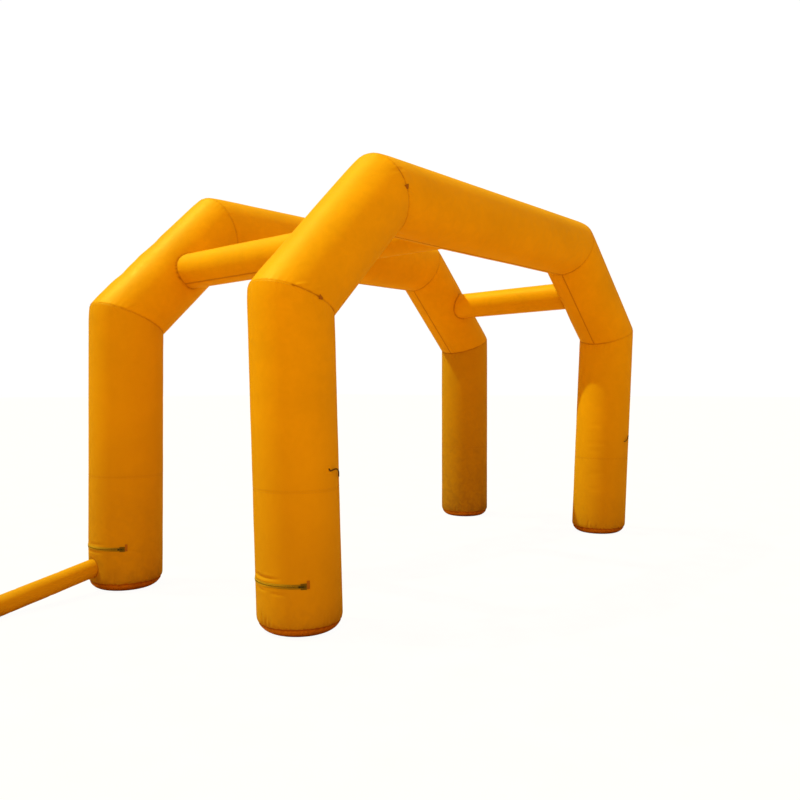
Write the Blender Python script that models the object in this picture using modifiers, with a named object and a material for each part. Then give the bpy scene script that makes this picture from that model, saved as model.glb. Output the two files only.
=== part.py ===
"""Inflatable arch of coated cloth, blown up hard: two arches side by side, each of five round tubes that
are mitred and sewn end to end, held apart by three thinner cross tubes. It has a round base panel under each
foot, deflation zips on two legs, an air sleeve, two small seam tabs and two short tie cords.

+X runs along the arches, from the zip side to the plain side. +Y runs from the front arch to the rear one.
+Z is up. Run with: blender --background --python part.py
"""

import math

import bmesh
import bpy
from mathutils import Matrix, Vector

OBJECT_NAME = "inflatable_arch"

# Driving sizes, in metres
TUBE_R = 0.300
CROSS_R = 0.151
SLEEVE_R = 0.075
CORD_R = 0.005
GAP = 0.0003

# Lowest stand-off of a strip wrapped round a tube: the gap, and the sag of its chords over the tube's edges
STRIP_SEAT = 0.0007

# Sides of each round piece
TUBE_SIDES = 36
CROSS_SIDES = 28
SLEEVE_SIDES = 24

# Edges that turn by more than this stay sharp
SHARP_ANGLE = math.radians(35.0)

# Corners of the tubes' axes, in metres, from each arch's left foot round to its right foot
ARCH_CORNERS = {
    # arch: (corner, x, y, z)
    "front": (
        ("left_foot", -2.346, -0.033, 0.000),
        ("left_shoulder", -2.393, 0.000, 2.282),
        ("left_crown", -1.489, 0.000, 3.190),
        ("right_crown", 1.556, 0.000, 3.183),
        ("right_shoulder", 2.492, 0.000, 2.303),
        ("right_foot", 2.433, 0.069, 0.000),
    ),
    "rear": (
        ("left_foot", -2.497, 2.000, 0.000),
        ("left_shoulder", -2.486, 1.981, 2.258),
        ("left_crown", -1.573, 1.981, 3.145),
        ("right_crown", 1.478, 1.981, 3.166),
        ("right_shoulder", 2.413, 1.981, 2.255),
        ("right_foot", 2.422, 1.988, 0.000),
    ),
}
PIECES = ("left_leg", "left_slope", "beam", "right_slope", "right_leg")

# Middle of the whole footprint, air sleeve included, which becomes the part's origin
FOOTPRINT_MIDDLE = (-0.49622, 0.98384)

# A sewn corner can't stay sharp under pressure: how far its outer side is drawn in, and over what length
CORNER_DRAW = {"shoulder": 0.008, "crown": 0.006}
CORNER_REACH = 0.140
CORNER_STEPS = (0.0, 0.008, 0.020, 0.045, 0.090, 0.140)
SEAM_DIP = 0.003
SEAM_REACH = 0.020

# Foot: the tube turns in to a flat disc on the floor, and the base panel is sewn on just above it
FOOT_FLAT_R = 0.190
FOOT_TURN_HEIGHT = 0.115
BASE_SEAM_HEIGHT = 0.070
BASE_STEPS = 5
LEG_FOOT_STEPS = (
    # share of the turn from the base seam up, share of the seam's dip
    (0.00, 1.00),
    (0.25, 0.25),
    (0.60, 0.00),
    (1.00, 0.00),
)

# Cross tubes: the piece of each arch that they join, and how far along its axis
CROSS_TUBES = {
    # name: (piece, share of its length)
    "left_cross_tube": ("left_slope", 0.4934),
    "middle_cross_tube": ("beam", 0.4930),
    "right_cross_tube": ("right_slope", 0.5066),
}
CUTTER_HALF_LENGTH = 0.35

# Air sleeve: its axis falls straight to the floor from the outer side of the rear left leg, then lies on it
SLEEVE_ON_LEG = (-2.780, 2.019, 0.198)
SLEEVE_ON_FLOOR = (-3.700, 1.8135, 0.0745)
SLEEVE_ROOT = -0.190
SLEEVE_LENGTH = 1.020
SLEEVE_RINGS = 13
SLEEVE_SETTLE = 0.010
SLEEVE_RIM = 0.006

# Zips, on the outer side of the left legs. Angles go round the leg from its outer side towards the front
ZIP_HEIGHT = 0.363
ZIP_FROM = math.radians(-60.0)
ZIP_TO = math.radians(50.0)
ZIP_STEPS = 20
TAPE_HALF_HEIGHT = 0.0155
TAPE_THICKNESS = 0.0018
COIL_HALF_HEIGHT = 0.0045
COIL_TOP = 0.0045
COIL_CREST_SHARE = 0.6
ZIP_PATCH_HALF_HEIGHT = 0.021
ZIP_PATCH_LENGTH = 0.042
ZIP_PATCH_THICKNESS = 0.0030
ZIP_PATCH_STEPS = 3
ZIP_BAR_HALF_HEIGHT = 0.028
ZIP_BAR_RISE = 0.011
ZIP_BAR_LENGTH = 0.020
ZIP_BAR_THICKNESS = 0.0035
ZIP_BAR_STEPS = 2
# length, half height and top
SLIDER_BODY = (0.014, 0.0065, 0.0105)
SLIDER_BODY_STEPS = 2
# length, half height, underside and top
SLIDER_PULL = (0.034, 0.0042, 0.0065, 0.0090)
SLIDER_PULL_STEPS = 3

# Share of a flat strip's thickness that its outer edges are chamfered by
CHAMFER_SHARE = 0.3

# Tie cords, on the front legs: the sewn patch, and the route as angle, height and stand-off from the cloth
TIE_PATCH_HALF_HEIGHT = 0.026
TIE_PATCH_HALF_ANGLE = math.radians(5.0)
TIE_PATCH_THICKNESS = 0.0022
TIE_PATCH_STEPS = 3
TIES = {
    # leg: (patch angle in degrees, patch height, ((angle in degrees, height, stand-off), ...))
    "front_left": (
        96.0,
        1.124,
        (
            (94.4, 1.136, 0.0077),
            (96.2, 1.122, 0.0077),
            (98.6, 1.119, 0.0077),
            (103.5, 1.125, 0.0120),
            (109.6, 1.126, 0.0150),
            (115.0, 1.112, 0.0150),
            (118.5, 1.092, 0.0110),
            (119.6, 1.068, 0.0085),
        ),
    ),
    "front_right": (
        85.0,
        1.112,
        (
            (81.5, 1.128, 0.0077),
            (84.2, 1.112, 0.0080),
            (89.5, 1.088, 0.0120),
            (95.0, 1.071, 0.0110),
            (101.0, 1.062, 0.0085),
        ),
    ),
}
CORD_POINTS_PER_SPAN = 4
CORD_ROUNDING = 2

# Seam tabs: folded webbing sewn flat over a mitre seam of the front arch
TAB_THICKNESS = 0.004
TAB_TIP = 0.40
TAB_EDGE = 0.0008
TAB_EDGE_STEPS = 2
SEAM_TABS = {
    # name: (corner, angle in degrees, seat against the tube's radius, breadth, length)
    "crown_seam_tab": ("left_crown", 88.0, -0.0003, 0.050, 0.034),
    "shoulder_seam_tab": ("left_shoulder", 90.0, -0.0003, 0.036, 0.032),
}

FRONT = Vector((0.0, -1.0, 0.0))
UP = Vector((0.0, 0.0, 1.0))

MATERIALS = {
    # slot: (colour, roughness, metallic)
    "coated_cloth": ((0.80, 0.33, 0.006), 0.42, 0.0),
    "base_cloth": ((0.30, 0.075, 0.008), 0.62, 0.0),
    "zip_tape": ((0.11, 0.060, 0.010), 0.70, 0.0),
    "zip_slider": ((0.09, 0.075, 0.050), 0.38, 0.9),
    "webbing": ((0.36, 0.11, 0.014), 0.75, 0.0),
    "tie_cord": ((0.060, 0.018, 0.008), 0.80, 0.0),
}


class Tube:
    """A straight round tube. Its angles start at the side away from the passage and grow to the front."""

    def __init__(self, start, end):
        self.start = Vector(start)
        self.end = Vector(end)
        self.along = (self.end - self.start).normalized()
        self.front = (FRONT - FRONT.dot(self.along) * self.along).normalized()
        self.out = self.front.cross(self.along)

    def radial(self, angle):
        return math.cos(angle) * self.out + math.sin(angle) * self.front

    def on_plane(self, angle, radius, point, normal):
        """The point at this angle and radius where the tube passes through a plane."""
        base = self.start + radius * self.radial(angle)
        reach = (point - base).dot(normal) / self.along.dot(normal)
        return base + reach * self.along

    def at_height(self, angle, radius, height):
        return self.on_plane(angle, radius, height * UP, UP)


def clear_scene():
    for obj in list(bpy.data.objects):
        bpy.data.objects.remove(obj, do_unlink=True)


def make_materials():
    made = {}
    for slot, (colour, roughness, metallic) in MATERIALS.items():
        material = bpy.data.materials.new(slot)
        material.use_nodes = True
        shader = material.node_tree.nodes["Principled BSDF"]
        shader.inputs["Base Color"].default_value = (*colour, 1.0)
        shader.inputs["Roughness"].default_value = roughness
        shader.inputs["Metallic"].default_value = metallic
        made[slot] = material
    return made


class Workshop:
    """Holds the collections, the root empty and the materials, and turns bmeshes into placed objects."""

    def __init__(self):
        self.parts = bpy.data.collections.new(OBJECT_NAME)
        self.cutters = bpy.data.collections.new("cutters")
        for collection in (self.parts, self.cutters):
            bpy.context.scene.collection.children.link(collection)
        self.materials = make_materials()
        self.root = bpy.data.objects.new(OBJECT_NAME + "_root", None)
        self.root.location = (-FOOTPRINT_MIDDLE[0], -FOOTPRINT_MIDDLE[1], 0.0)
        self.parts.objects.link(self.root)

    def place(self, name, bm, origin, slot=None):
        """Makes the object with its own origin: a part where it has a material slot, a cutter where not."""
        bmesh.ops.translate(bm, verts=bm.verts, vec=-Vector(origin))
        bmesh.ops.recalc_face_normals(bm, faces=bm.faces)
        mesh = bpy.data.meshes.new(name)
        bm.to_mesh(mesh)
        bm.free()
        obj = bpy.data.objects.new(name, mesh)
        obj.location = origin
        obj.parent = self.root
        if slot is None:
            obj.hide_render = True
            obj.display_type = "WIRE"
            self.cutters.objects.link(obj)
        else:
            mesh.materials.append(self.materials[slot])
            mesh.shade_smooth()
            mesh.set_sharp_from_angle(angle=SHARP_ANGLE)
            self.parts.objects.link(obj)
        return obj


def loft(rings):
    """A closed body through rings of points that have equal counts, with a flat face over each end."""
    bm = bmesh.new()
    loops = [[bm.verts.new(point) for point in ring] for ring in rings]
    count = len(loops[0])
    for low, high in zip(loops, loops[1:]):
        for i in range(count):
            j = (i + 1) % count
            bm.faces.new((low[i], low[j], high[j], high[i]))
    bm.faces.new(loops[0])
    bm.faces.new(loops[-1])
    return bm


def round_angles(sides):
    return [math.tau * i / sides for i in range(sides)]


def corner_radius(angle, distance, draw):
    """The tube's radius near a mitre: drawn in on the outer side, with a small dip along the seam."""
    outer = max(0.0, math.cos(angle)) ** 2
    rounding = draw * outer * (1.0 - distance / CORNER_REACH) ** 2
    dip = SEAM_DIP * max(0.0, 1.0 - distance / SEAM_REACH) ** 2
    return TUBE_R - rounding - dip


def mitre_rings(tube, corner, normal, inward, draw):
    """Rings from a mitre plane into the tube, nearest first. inward is 1 at its start and -1 at its end."""
    rings = []
    for step in CORNER_STEPS:
        point = corner + inward * (0.5 * GAP * normal + step * tube.along)
        ring = [
            tube.on_plane(angle, corner_radius(angle, step, draw), point, normal)
            for angle in round_angles(TUBE_SIDES)
        ]
        rings.append(ring)
    return rings


def foot_turn(turn):
    """Radius and height of the foot's rounded edge, from its flat disc at 0 to the tube at 90 degrees."""
    radius = FOOT_FLAT_R + (TUBE_R - FOOT_FLAT_R) * math.sin(turn)
    height = FOOT_TURN_HEIGHT * (1.0 - math.cos(turn))
    return radius, height


def level_ring(tube, radius, height):
    return [tube.at_height(angle, radius, height) for angle in round_angles(TUBE_SIDES)]


def seam_turn():
    """The turn of the foot's edge at the height of the base seam."""
    return math.acos(1.0 - BASE_SEAM_HEIGHT / FOOT_TURN_HEIGHT)


def leg_foot_rings(tube):
    """Rings of a leg from the base seam up to where the tube is full, lowest first."""
    rings = []
    turn_left = 0.5 * math.pi - seam_turn()
    for turn_share, dip_share in LEG_FOOT_STEPS:
        radius, height = foot_turn(seam_turn() + turn_share * turn_left)
        at_seam = turn_share == 0.0
        rings.append(level_ring(tube, radius - dip_share * SEAM_DIP, height + 0.5 * GAP * at_seam))
    return rings


def base_rings(tube):
    """Rings of a base panel from the floor up to the base seam."""
    rings = []
    for step in range(BASE_STEPS + 1):
        radius, height = foot_turn(seam_turn() * step / BASE_STEPS)
        at_seam = step == BASE_STEPS
        rings.append(level_ring(tube, radius - SEAM_DIP * at_seam, height - 0.5 * GAP * at_seam))
    return rings


def corner_kind(corner_name):
    return corner_name.split("_")[1]


def build_arch(shop, arch):
    """The five tubes and two base panels of one arch. It returns the tubes by name."""
    names = [row[0] for row in ARCH_CORNERS[arch]]
    points = [Vector(row[1:]) for row in ARCH_CORNERS[arch]]
    tubes = [Tube(start, end) for start, end in zip(points, points[1:])]
    for i, (piece, tube) in enumerate(zip(PIECES, tubes)):
        if names[i].endswith("foot"):
            rings = leg_foot_rings(tube)
        else:
            normal = (tubes[i - 1].along + tube.along).normalized()
            rings = mitre_rings(tube, points[i], normal, 1, CORNER_DRAW[corner_kind(names[i])])
        if names[i + 1].endswith("foot"):
            far_rings = leg_foot_rings(tube)
        else:
            normal = (tube.along + tubes[i + 1].along).normalized()
            far_rings = mitre_rings(tube, points[i + 1], normal, -1, CORNER_DRAW[corner_kind(names[i + 1])])
        body = loft(rings + far_rings[::-1])
        shop.place(f"{arch}_{piece}", body, points[i], "coated_cloth")
    for side, foot, tube in (("left", points[0], tubes[0]), ("right", points[-1], tubes[-1])):
        shop.place(f"{arch}_{side}_base", loft(base_rings(tube)), foot, "base_cloth")
    return dict(zip(PIECES, tubes))


def cylinder_between(start, end, radius, sides, reference):
    """A closed cylinder whose flat sides are turned to the reference direction."""
    axis = end - start
    along = axis.normalized()
    side = (reference - reference.dot(along) * along).normalized()
    turn = Matrix((side, along.cross(side), along)).transposed().to_4x4()
    bm = bmesh.new()
    bmesh.ops.create_cone(
        bm,
        cap_ends=True,
        segments=sides,
        radius1=radius,
        radius2=radius,
        depth=axis.length,
        matrix=Matrix.Translation(0.5 * (start + end)) @ turn,
    )
    return bm


def tube_cutter(shop, name, tube, middle):
    """A stretch of a tube, larger by the gap, that shapes the end of what is sewn to it."""
    half = CUTTER_HALF_LENGTH * tube.along
    body = cylinder_between(middle - half, middle + half, TUBE_R + GAP, TUBE_SIDES, tube.out)
    return shop.place(name, body, middle)


def cut_with(obj, cutter):
    modifier = obj.modifiers.new("saddle " + cutter.name, "BOOLEAN")
    modifier.operation = "DIFFERENCE"
    modifier.object = cutter


def build_cross_tubes(shop, arches):
    for name, (piece, share) in CROSS_TUBES.items():
        ends = []
        for tubes in arches.values():
            tube = tubes[piece]
            ends.append(tube.start.lerp(tube.end, share))
        body = cylinder_between(ends[0], ends[1], CROSS_R, CROSS_SIDES, UP)
        cross = shop.place(name, body, ends[0].lerp(ends[1], 0.5), "coated_cloth")
        for (arch, tubes), end in zip(arches.items(), ends):
            cut_with(cross, tube_cutter(shop, f"{name}_{arch}_cutter", tubes[piece], end))


def sleeve_ring(distance, shrink):
    """A ring of the air sleeve at this distance from the leg's side. Its underside is flat where it lies."""
    start = Vector(SLEEVE_ON_LEG)
    run = Vector(SLEEVE_ON_FLOOR) - start
    fall = run.normalized()
    centre = start + distance * fall
    above_rest = centre.z - SLEEVE_R
    settled = 0.5 * (above_rest + math.hypot(above_rest, SLEEVE_SETTLE))
    centre.z = SLEEVE_R - 0.5 * SLEEVE_SETTLE + settled
    side = fall.cross(UP).normalized()
    lift = side.cross(fall)
    ring = []
    for angle in round_angles(SLEEVE_SIDES):
        point = centre + (SLEEVE_R - shrink) * (math.cos(angle) * side + math.sin(angle) * lift)
        point.z = max(point.z, 0.0)
        ring.append(point)
    return ring


def build_air_sleeve(shop, leg):
    rings = []
    for step in range(SLEEVE_RINGS + 1):
        distance = SLEEVE_ROOT + (SLEEVE_LENGTH - SLEEVE_ROOT - SLEEVE_RIM) * step / SLEEVE_RINGS
        rings.append(sleeve_ring(distance, 0.0))
    rings.append(sleeve_ring(SLEEVE_LENGTH, SLEEVE_RIM))
    sleeve = shop.place("air_sleeve", loft(rings), SLEEVE_ON_LEG, "coated_cloth")
    middle = leg.on_plane(0.0, 0.0, Vector(SLEEVE_ON_LEG), UP)
    cut_with(sleeve, tube_cutter(shop, "air_sleeve_cutter", leg, middle))


def wrap(leg, angles, sections):
    """A strip wrapped round a leg: at each angle, a closed section of (height, stand-off) points."""
    rings = []
    for angle, section in zip(angles, sections):
        rings.append([leg.at_height(angle, TUBE_R + off, height) for height, off in section])
    return loft(rings)


def slab_section(height, half_height, low, high):
    """A section with two chamfered outer edges."""
    edge = CHAMFER_SHARE * (high - low)
    return (
        (height - half_height, low),
        (height + half_height, low),
        (height + half_height, high - edge),
        (height + half_height - edge, high),
        (height - half_height + edge, high),
        (height - half_height, high - edge),
    )


def zip_section():
    """The zip's tape with the raised coil along its middle."""
    half_profile = (
        (TAPE_HALF_HEIGHT, STRIP_SEAT),
        (TAPE_HALF_HEIGHT, TAPE_THICKNESS),
        (COIL_HALF_HEIGHT, TAPE_THICKNESS),
        (COIL_CREST_SHARE * COIL_HALF_HEIGHT, COIL_TOP),
    )
    upper = [(ZIP_HEIGHT + height, off) for height, off in half_profile]
    lower = [(ZIP_HEIGHT - height, off) for height, off in reversed(half_profile)]
    return upper + lower


def spread(start, end, steps):
    return [start + (end - start) * i / steps for i in range(steps + 1)]


def build_zip(shop, name, leg):
    """Tape with its coil, the dark end patch, the webbing bar beside it, and the slider with its pull."""
    gap_angle = GAP / TUBE_R
    tape_angles = spread(ZIP_FROM, ZIP_TO, ZIP_STEPS)
    tape = wrap(leg, tape_angles, [zip_section()] * len(tape_angles))
    shop.place(f"{name}_zip_tape", tape, leg.at_height(ZIP_FROM, TUBE_R, ZIP_HEIGHT), "zip_tape")

    patch_from = ZIP_TO + gap_angle
    patch_to = patch_from + ZIP_PATCH_LENGTH / TUBE_R
    patch_angles = spread(patch_from, patch_to, ZIP_PATCH_STEPS)
    patch_section = slab_section(ZIP_HEIGHT, ZIP_PATCH_HALF_HEIGHT, STRIP_SEAT, ZIP_PATCH_THICKNESS)
    patch = wrap(leg, patch_angles, [patch_section] * len(patch_angles))
    shop.place(f"{name}_zip_patch", patch, leg.at_height(patch_from, TUBE_R, ZIP_HEIGHT), "zip_tape")

    bar_from = patch_to + gap_angle
    bar_height = ZIP_HEIGHT + ZIP_BAR_RISE
    bar_angles = spread(bar_from, bar_from + ZIP_BAR_LENGTH / TUBE_R, ZIP_BAR_STEPS)
    bar_section = slab_section(bar_height, ZIP_BAR_HALF_HEIGHT, STRIP_SEAT, ZIP_BAR_THICKNESS)
    bar = wrap(leg, bar_angles, [bar_section] * len(bar_angles))
    shop.place(f"{name}_zip_bar", bar, leg.at_height(bar_from, TUBE_R, bar_height), "webbing")

    body_length, body_half, body_top = SLIDER_BODY
    pull_length, pull_half, pull_low, pull_high = SLIDER_PULL
    body_from = ZIP_TO - body_length / TUBE_R
    body_section = slab_section(ZIP_HEIGHT, body_half, COIL_TOP + GAP, body_top)
    pull_section = slab_section(ZIP_HEIGHT, pull_half, pull_low, pull_high)
    body_angles = spread(body_from, ZIP_TO, SLIDER_BODY_STEPS)
    pull_angles = spread(ZIP_TO, ZIP_TO + pull_length / TUBE_R, SLIDER_PULL_STEPS)
    sections = [body_section] * len(body_angles) + [pull_section] * len(pull_angles)
    slider = wrap(leg, body_angles + pull_angles, sections)
    shop.place(f"{name}_zip_slider", slider, leg.at_height(body_from, TUBE_R, ZIP_HEIGHT), "zip_slider")


def smooth_route(points, per_span):
    """Points along a Catmull-Rom curve through the given ones."""
    ends = [2 * points[0] - points[1]] + points + [2 * points[-1] - points[-2]]
    route = []
    for a, b, c, d in zip(ends, ends[1:], ends[2:], ends[3:]):
        for step in range(per_span):
            t = step / per_span
            bend = (2 * a - 5 * b + 4 * c - d) * t * t + (3 * b - a - 3 * c + d) * t * t * t
            route.append(0.5 * (2 * b + (c - a) * t + bend))
    route.append(points[-1])
    return route


def build_tie(shop, name, leg, patch_angle, patch_height, route):
    """A sewn patch with a short cord that lies down the leg to a free end."""
    middle = math.radians(patch_angle)
    angles = spread(middle - TIE_PATCH_HALF_ANGLE, middle + TIE_PATCH_HALF_ANGLE, TIE_PATCH_STEPS)
    section = slab_section(patch_height, TIE_PATCH_HALF_HEIGHT, STRIP_SEAT, TIE_PATCH_THICKNESS)
    patch = wrap(leg, angles, [section] * len(angles))
    shop.place(f"{name}_tie_patch", patch, leg.at_height(middle, TUBE_R, patch_height), "coated_cloth")

    points = [leg.at_height(math.radians(angle), TUBE_R + off, height) for angle, height, off in route]
    line = smooth_route(points, CORD_POINTS_PER_SPAN)
    curve = bpy.data.curves.new(f"{name}_tie_cord", "CURVE")
    curve.dimensions = "3D"
    curve.bevel_depth = CORD_R
    curve.bevel_resolution = CORD_ROUNDING
    curve.use_fill_caps = True
    spline = curve.splines.new("POLY")
    spline.points.add(len(line) - 1)
    for spline_point, point in zip(spline.points, line):
        spline_point.co = (*(point - line[0]), 1.0)
    curve.materials.append(shop.materials["tie_cord"])
    cord = bpy.data.objects.new(f"{name}_tie_cord", curve)
    cord.location = line[0]
    cord.parent = shop.root
    shop.parts.objects.link(cord)


def build_seam_tab(shop, name, before, after, angle, seat, breadth, length):
    """A flat tab over the mitre seam between two tubes, tapering along the seam to its lower end."""
    across = (before.along + after.along).normalized()
    point = before.on_plane(angle, TUBE_R, after.start, across)
    normal = (before.radial(angle) + after.radial(angle)).normalized()
    width = (across - across.dot(normal) * normal).normalized()
    turn = Matrix((width, normal.cross(width), normal)).transposed().to_4x4()
    centre = point + (seat + 0.5 * TAB_THICKNESS) * normal
    bm = bmesh.new()
    bmesh.ops.create_cube(bm, size=1.0, matrix=Matrix.Diagonal((breadth, length, TAB_THICKNESS, 1.0)))
    for vert in bm.verts:
        if vert.co.y < 0.0:
            vert.co.x *= TAB_TIP
    bmesh.ops.transform(bm, matrix=Matrix.Translation(centre) @ turn, verts=bm.verts)
    tab = shop.place(name, bm, centre, "webbing")
    bevel = tab.modifiers.new("soft edge", "BEVEL")
    bevel.width = TAB_EDGE
    bevel.segments = TAB_EDGE_STEPS


def main():
    clear_scene()
    shop = Workshop()
    arches = {arch: build_arch(shop, arch) for arch in ARCH_CORNERS}
    build_cross_tubes(shop, arches)
    build_air_sleeve(shop, arches["rear"]["left_leg"])
    for arch, tubes in arches.items():
        build_zip(shop, f"{arch}_left", tubes["left_leg"])
    for name, (patch_angle, patch_height, route) in TIES.items():
        leg = arches["front"][name.split("_")[1] + "_leg"]
        build_tie(shop, name, leg, patch_angle, patch_height, route)
    front_corners = [row[0] for row in ARCH_CORNERS["front"]]
    for name, (corner, degrees, seat, breadth, length) in SEAM_TABS.items():
        index = front_corners.index(corner)
        before = arches["front"][PIECES[index - 1]]
        after = arches["front"][PIECES[index]]
        build_seam_tab(shop, name, before, after, math.radians(degrees), seat, breadth, length)


main()
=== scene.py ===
"""Dresses the inflatable arch: blown-up coated cloth with its seams, gathers and creases, zips, tie
cords, tabs and air sleeve, on a pale studio floor, seen from the photograph's place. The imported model
is the fixed frame.
"""

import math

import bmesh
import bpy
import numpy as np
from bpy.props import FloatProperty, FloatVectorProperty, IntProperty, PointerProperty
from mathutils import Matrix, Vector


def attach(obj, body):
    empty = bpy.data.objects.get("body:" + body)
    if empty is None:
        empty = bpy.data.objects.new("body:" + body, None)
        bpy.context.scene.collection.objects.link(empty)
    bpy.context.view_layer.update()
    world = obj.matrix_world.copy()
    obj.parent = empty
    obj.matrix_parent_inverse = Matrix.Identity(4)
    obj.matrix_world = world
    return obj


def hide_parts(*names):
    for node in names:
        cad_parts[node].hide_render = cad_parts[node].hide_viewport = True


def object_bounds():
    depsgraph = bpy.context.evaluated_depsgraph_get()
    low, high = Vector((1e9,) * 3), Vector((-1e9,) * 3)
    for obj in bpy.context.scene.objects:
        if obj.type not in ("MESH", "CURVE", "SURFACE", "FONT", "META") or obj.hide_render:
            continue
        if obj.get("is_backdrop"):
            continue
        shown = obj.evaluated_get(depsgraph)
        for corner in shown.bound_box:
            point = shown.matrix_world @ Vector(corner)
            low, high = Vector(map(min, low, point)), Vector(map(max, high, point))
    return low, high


bl_info = {
    "name": "Inflatable Arch",
    "version": (1, 0, 0),
    "blender": (4, 5, 0),
    "location": "3D View > Sidebar > Arch",
    "description": "Dresses the frame of an inflatable arch in sewn, coated cloth",
    "category": "Object",
}

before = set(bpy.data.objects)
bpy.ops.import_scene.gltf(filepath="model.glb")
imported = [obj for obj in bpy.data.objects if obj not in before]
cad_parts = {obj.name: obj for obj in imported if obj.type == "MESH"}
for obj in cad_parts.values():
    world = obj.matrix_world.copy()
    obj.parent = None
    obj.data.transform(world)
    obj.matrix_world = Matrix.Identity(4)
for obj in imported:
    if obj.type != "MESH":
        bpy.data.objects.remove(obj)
CAD_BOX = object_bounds()
BODY = "root"

# The part's own origin: the middle of the whole footprint, air sleeve included
FOOTPRINT_MIDDLE = (-0.49622, 0.98384)

TUBE_R = 0.300
CROSS_R = 0.151
SLEEVE_R = 0.075
CORD_R = 0.005

# Corners of the tubes' axes, in metres, from each arch's left foot round to its right foot
ARCH_CORNERS = {
    # arch: (corner, x, y, z)
    "front": (
        ("left_foot", -2.346, -0.033, 0.000),
        ("left_shoulder", -2.393, 0.000, 2.282),
        ("left_crown", -1.489, 0.000, 3.190),
        ("right_crown", 1.556, 0.000, 3.183),
        ("right_shoulder", 2.492, 0.000, 2.303),
        ("right_foot", 2.433, 0.069, 0.000),
    ),
    "rear": (
        ("left_foot", -2.497, 2.000, 0.000),
        ("left_shoulder", -2.486, 1.981, 2.258),
        ("left_crown", -1.573, 1.981, 3.145),
        ("right_crown", 1.478, 1.981, 3.166),
        ("right_shoulder", 2.413, 1.981, 2.255),
        ("right_foot", 2.422, 1.988, 0.000),
    ),
}
PIECES = ("left_leg", "left_slope", "beam", "right_slope", "right_leg")

# Cross tubes: the piece of each arch that they join, and how far along its axis
CROSS_TUBES = {
    # name: (piece, share of its length, angle of its long seam in degrees)
    "left_cross_tube": ("left_slope", 0.4934, -55.0),
    "middle_cross_tube": ("beam", 0.4930, -125.0),
    "right_cross_tube": ("right_slope", 0.5066, -125.0),
}

# Air sleeve: its axis falls straight to the floor from the outer side of the rear left leg, then lies on it
SLEEVE_ON_LEG = (-2.780, 2.019, 0.198)
SLEEVE_ON_FLOOR = (-3.700, 1.8135, 0.0745)
SLEEVE_ROOT = -0.190
SLEEVE_LENGTH = 1.020
SLEEVE_SETTLE = 0.010
SLEEVE_FOLDS = (
    # distance down the sleeve, lean in radians, depth, width
    (0.28, 0.4, 0.0028, 0.012),
    (0.47, -0.5, 0.0022, 0.014),
    (0.66, 0.2, 0.0026, 0.011),
    (0.83, -0.2, 0.0020, 0.010),
)

# Corners and feet, as the part's solids have them
CORNER_DRAW = {"shoulder": 0.008, "crown": 0.006, "foot": 0.0}
CORNER_REACH = 0.140
SEAM_REACH = 0.020
FOOT_FLAT_R = 0.190
FOOT_TURN_HEIGHT = 0.115
BASE_SEAM_HEIGHT = 0.070
SEAM_GAP = 0.0003

# Zips, on the outer side of the left legs. Angles go round the leg from its outer side towards the front
ZIP_HEIGHT = 0.363
ZIP_FROM = math.radians(-60.0)
ZIP_TO = math.radians(50.0)
ZIP_PATCH_LENGTH = 0.042
ZIP_BAR_LENGTH = 0.020
ZIP_BAR_RISE = 0.011

TIES = {
    # leg: (patch angle in degrees, patch height, ((angle in degrees, height, stand-off), ...))
    "front_left": (
        96.0,
        1.124,
        (
            (94.4, 1.136, 0.0077),
            (96.2, 1.122, 0.0077),
            (98.6, 1.119, 0.0077),
            (103.5, 1.125, 0.0120),
            (109.6, 1.126, 0.0150),
            (115.0, 1.112, 0.0150),
            (118.5, 1.092, 0.0110),
            (119.6, 1.068, 0.0085),
        ),
    ),
    "front_right": (
        85.0,
        1.112,
        (
            (81.5, 1.128, 0.0077),
            (84.2, 1.112, 0.0080),
            (89.5, 1.088, 0.0120),
            (95.0, 1.071, 0.0110),
            (101.0, 1.062, 0.0085),
        ),
    ),
}
TIE_PATCH_HALF_HEIGHT = 0.026
TIE_PATCH_HALF_ANGLE = math.radians(5.0)

SEAM_TABS = {
    # name: (corner, angle in degrees, seat against the tube's radius, breadth, length)
    "crown_seam_tab": ("left_crown", 88.0, -0.0003, 0.050, 0.034),
    "shoulder_seam_tab": ("left_shoulder", 90.0, -0.0003, 0.036, 0.032),
}
TAB_THICKNESS = 0.004
TAB_EDGE = 0.0012
TAB_TIP = 0.40

# Sewn rings round the legs, where one length of cloth ends and the next begins
LEG_RINGS = {
    # leg: height
    ("front", "left_leg"): 0.99,
    ("front", "right_leg"): 0.87,
    ("rear", "left_leg"): 0.95,
    ("rear", "right_leg"): 0.91,
}

# How much darker some legs are painted than the others: painted shade on the rear legs, which stand in the
# others' shade
LEG_PAINTED_SHADE = {"rear_left_leg": 0.12, "rear_right_leg": 0.40}
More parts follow.
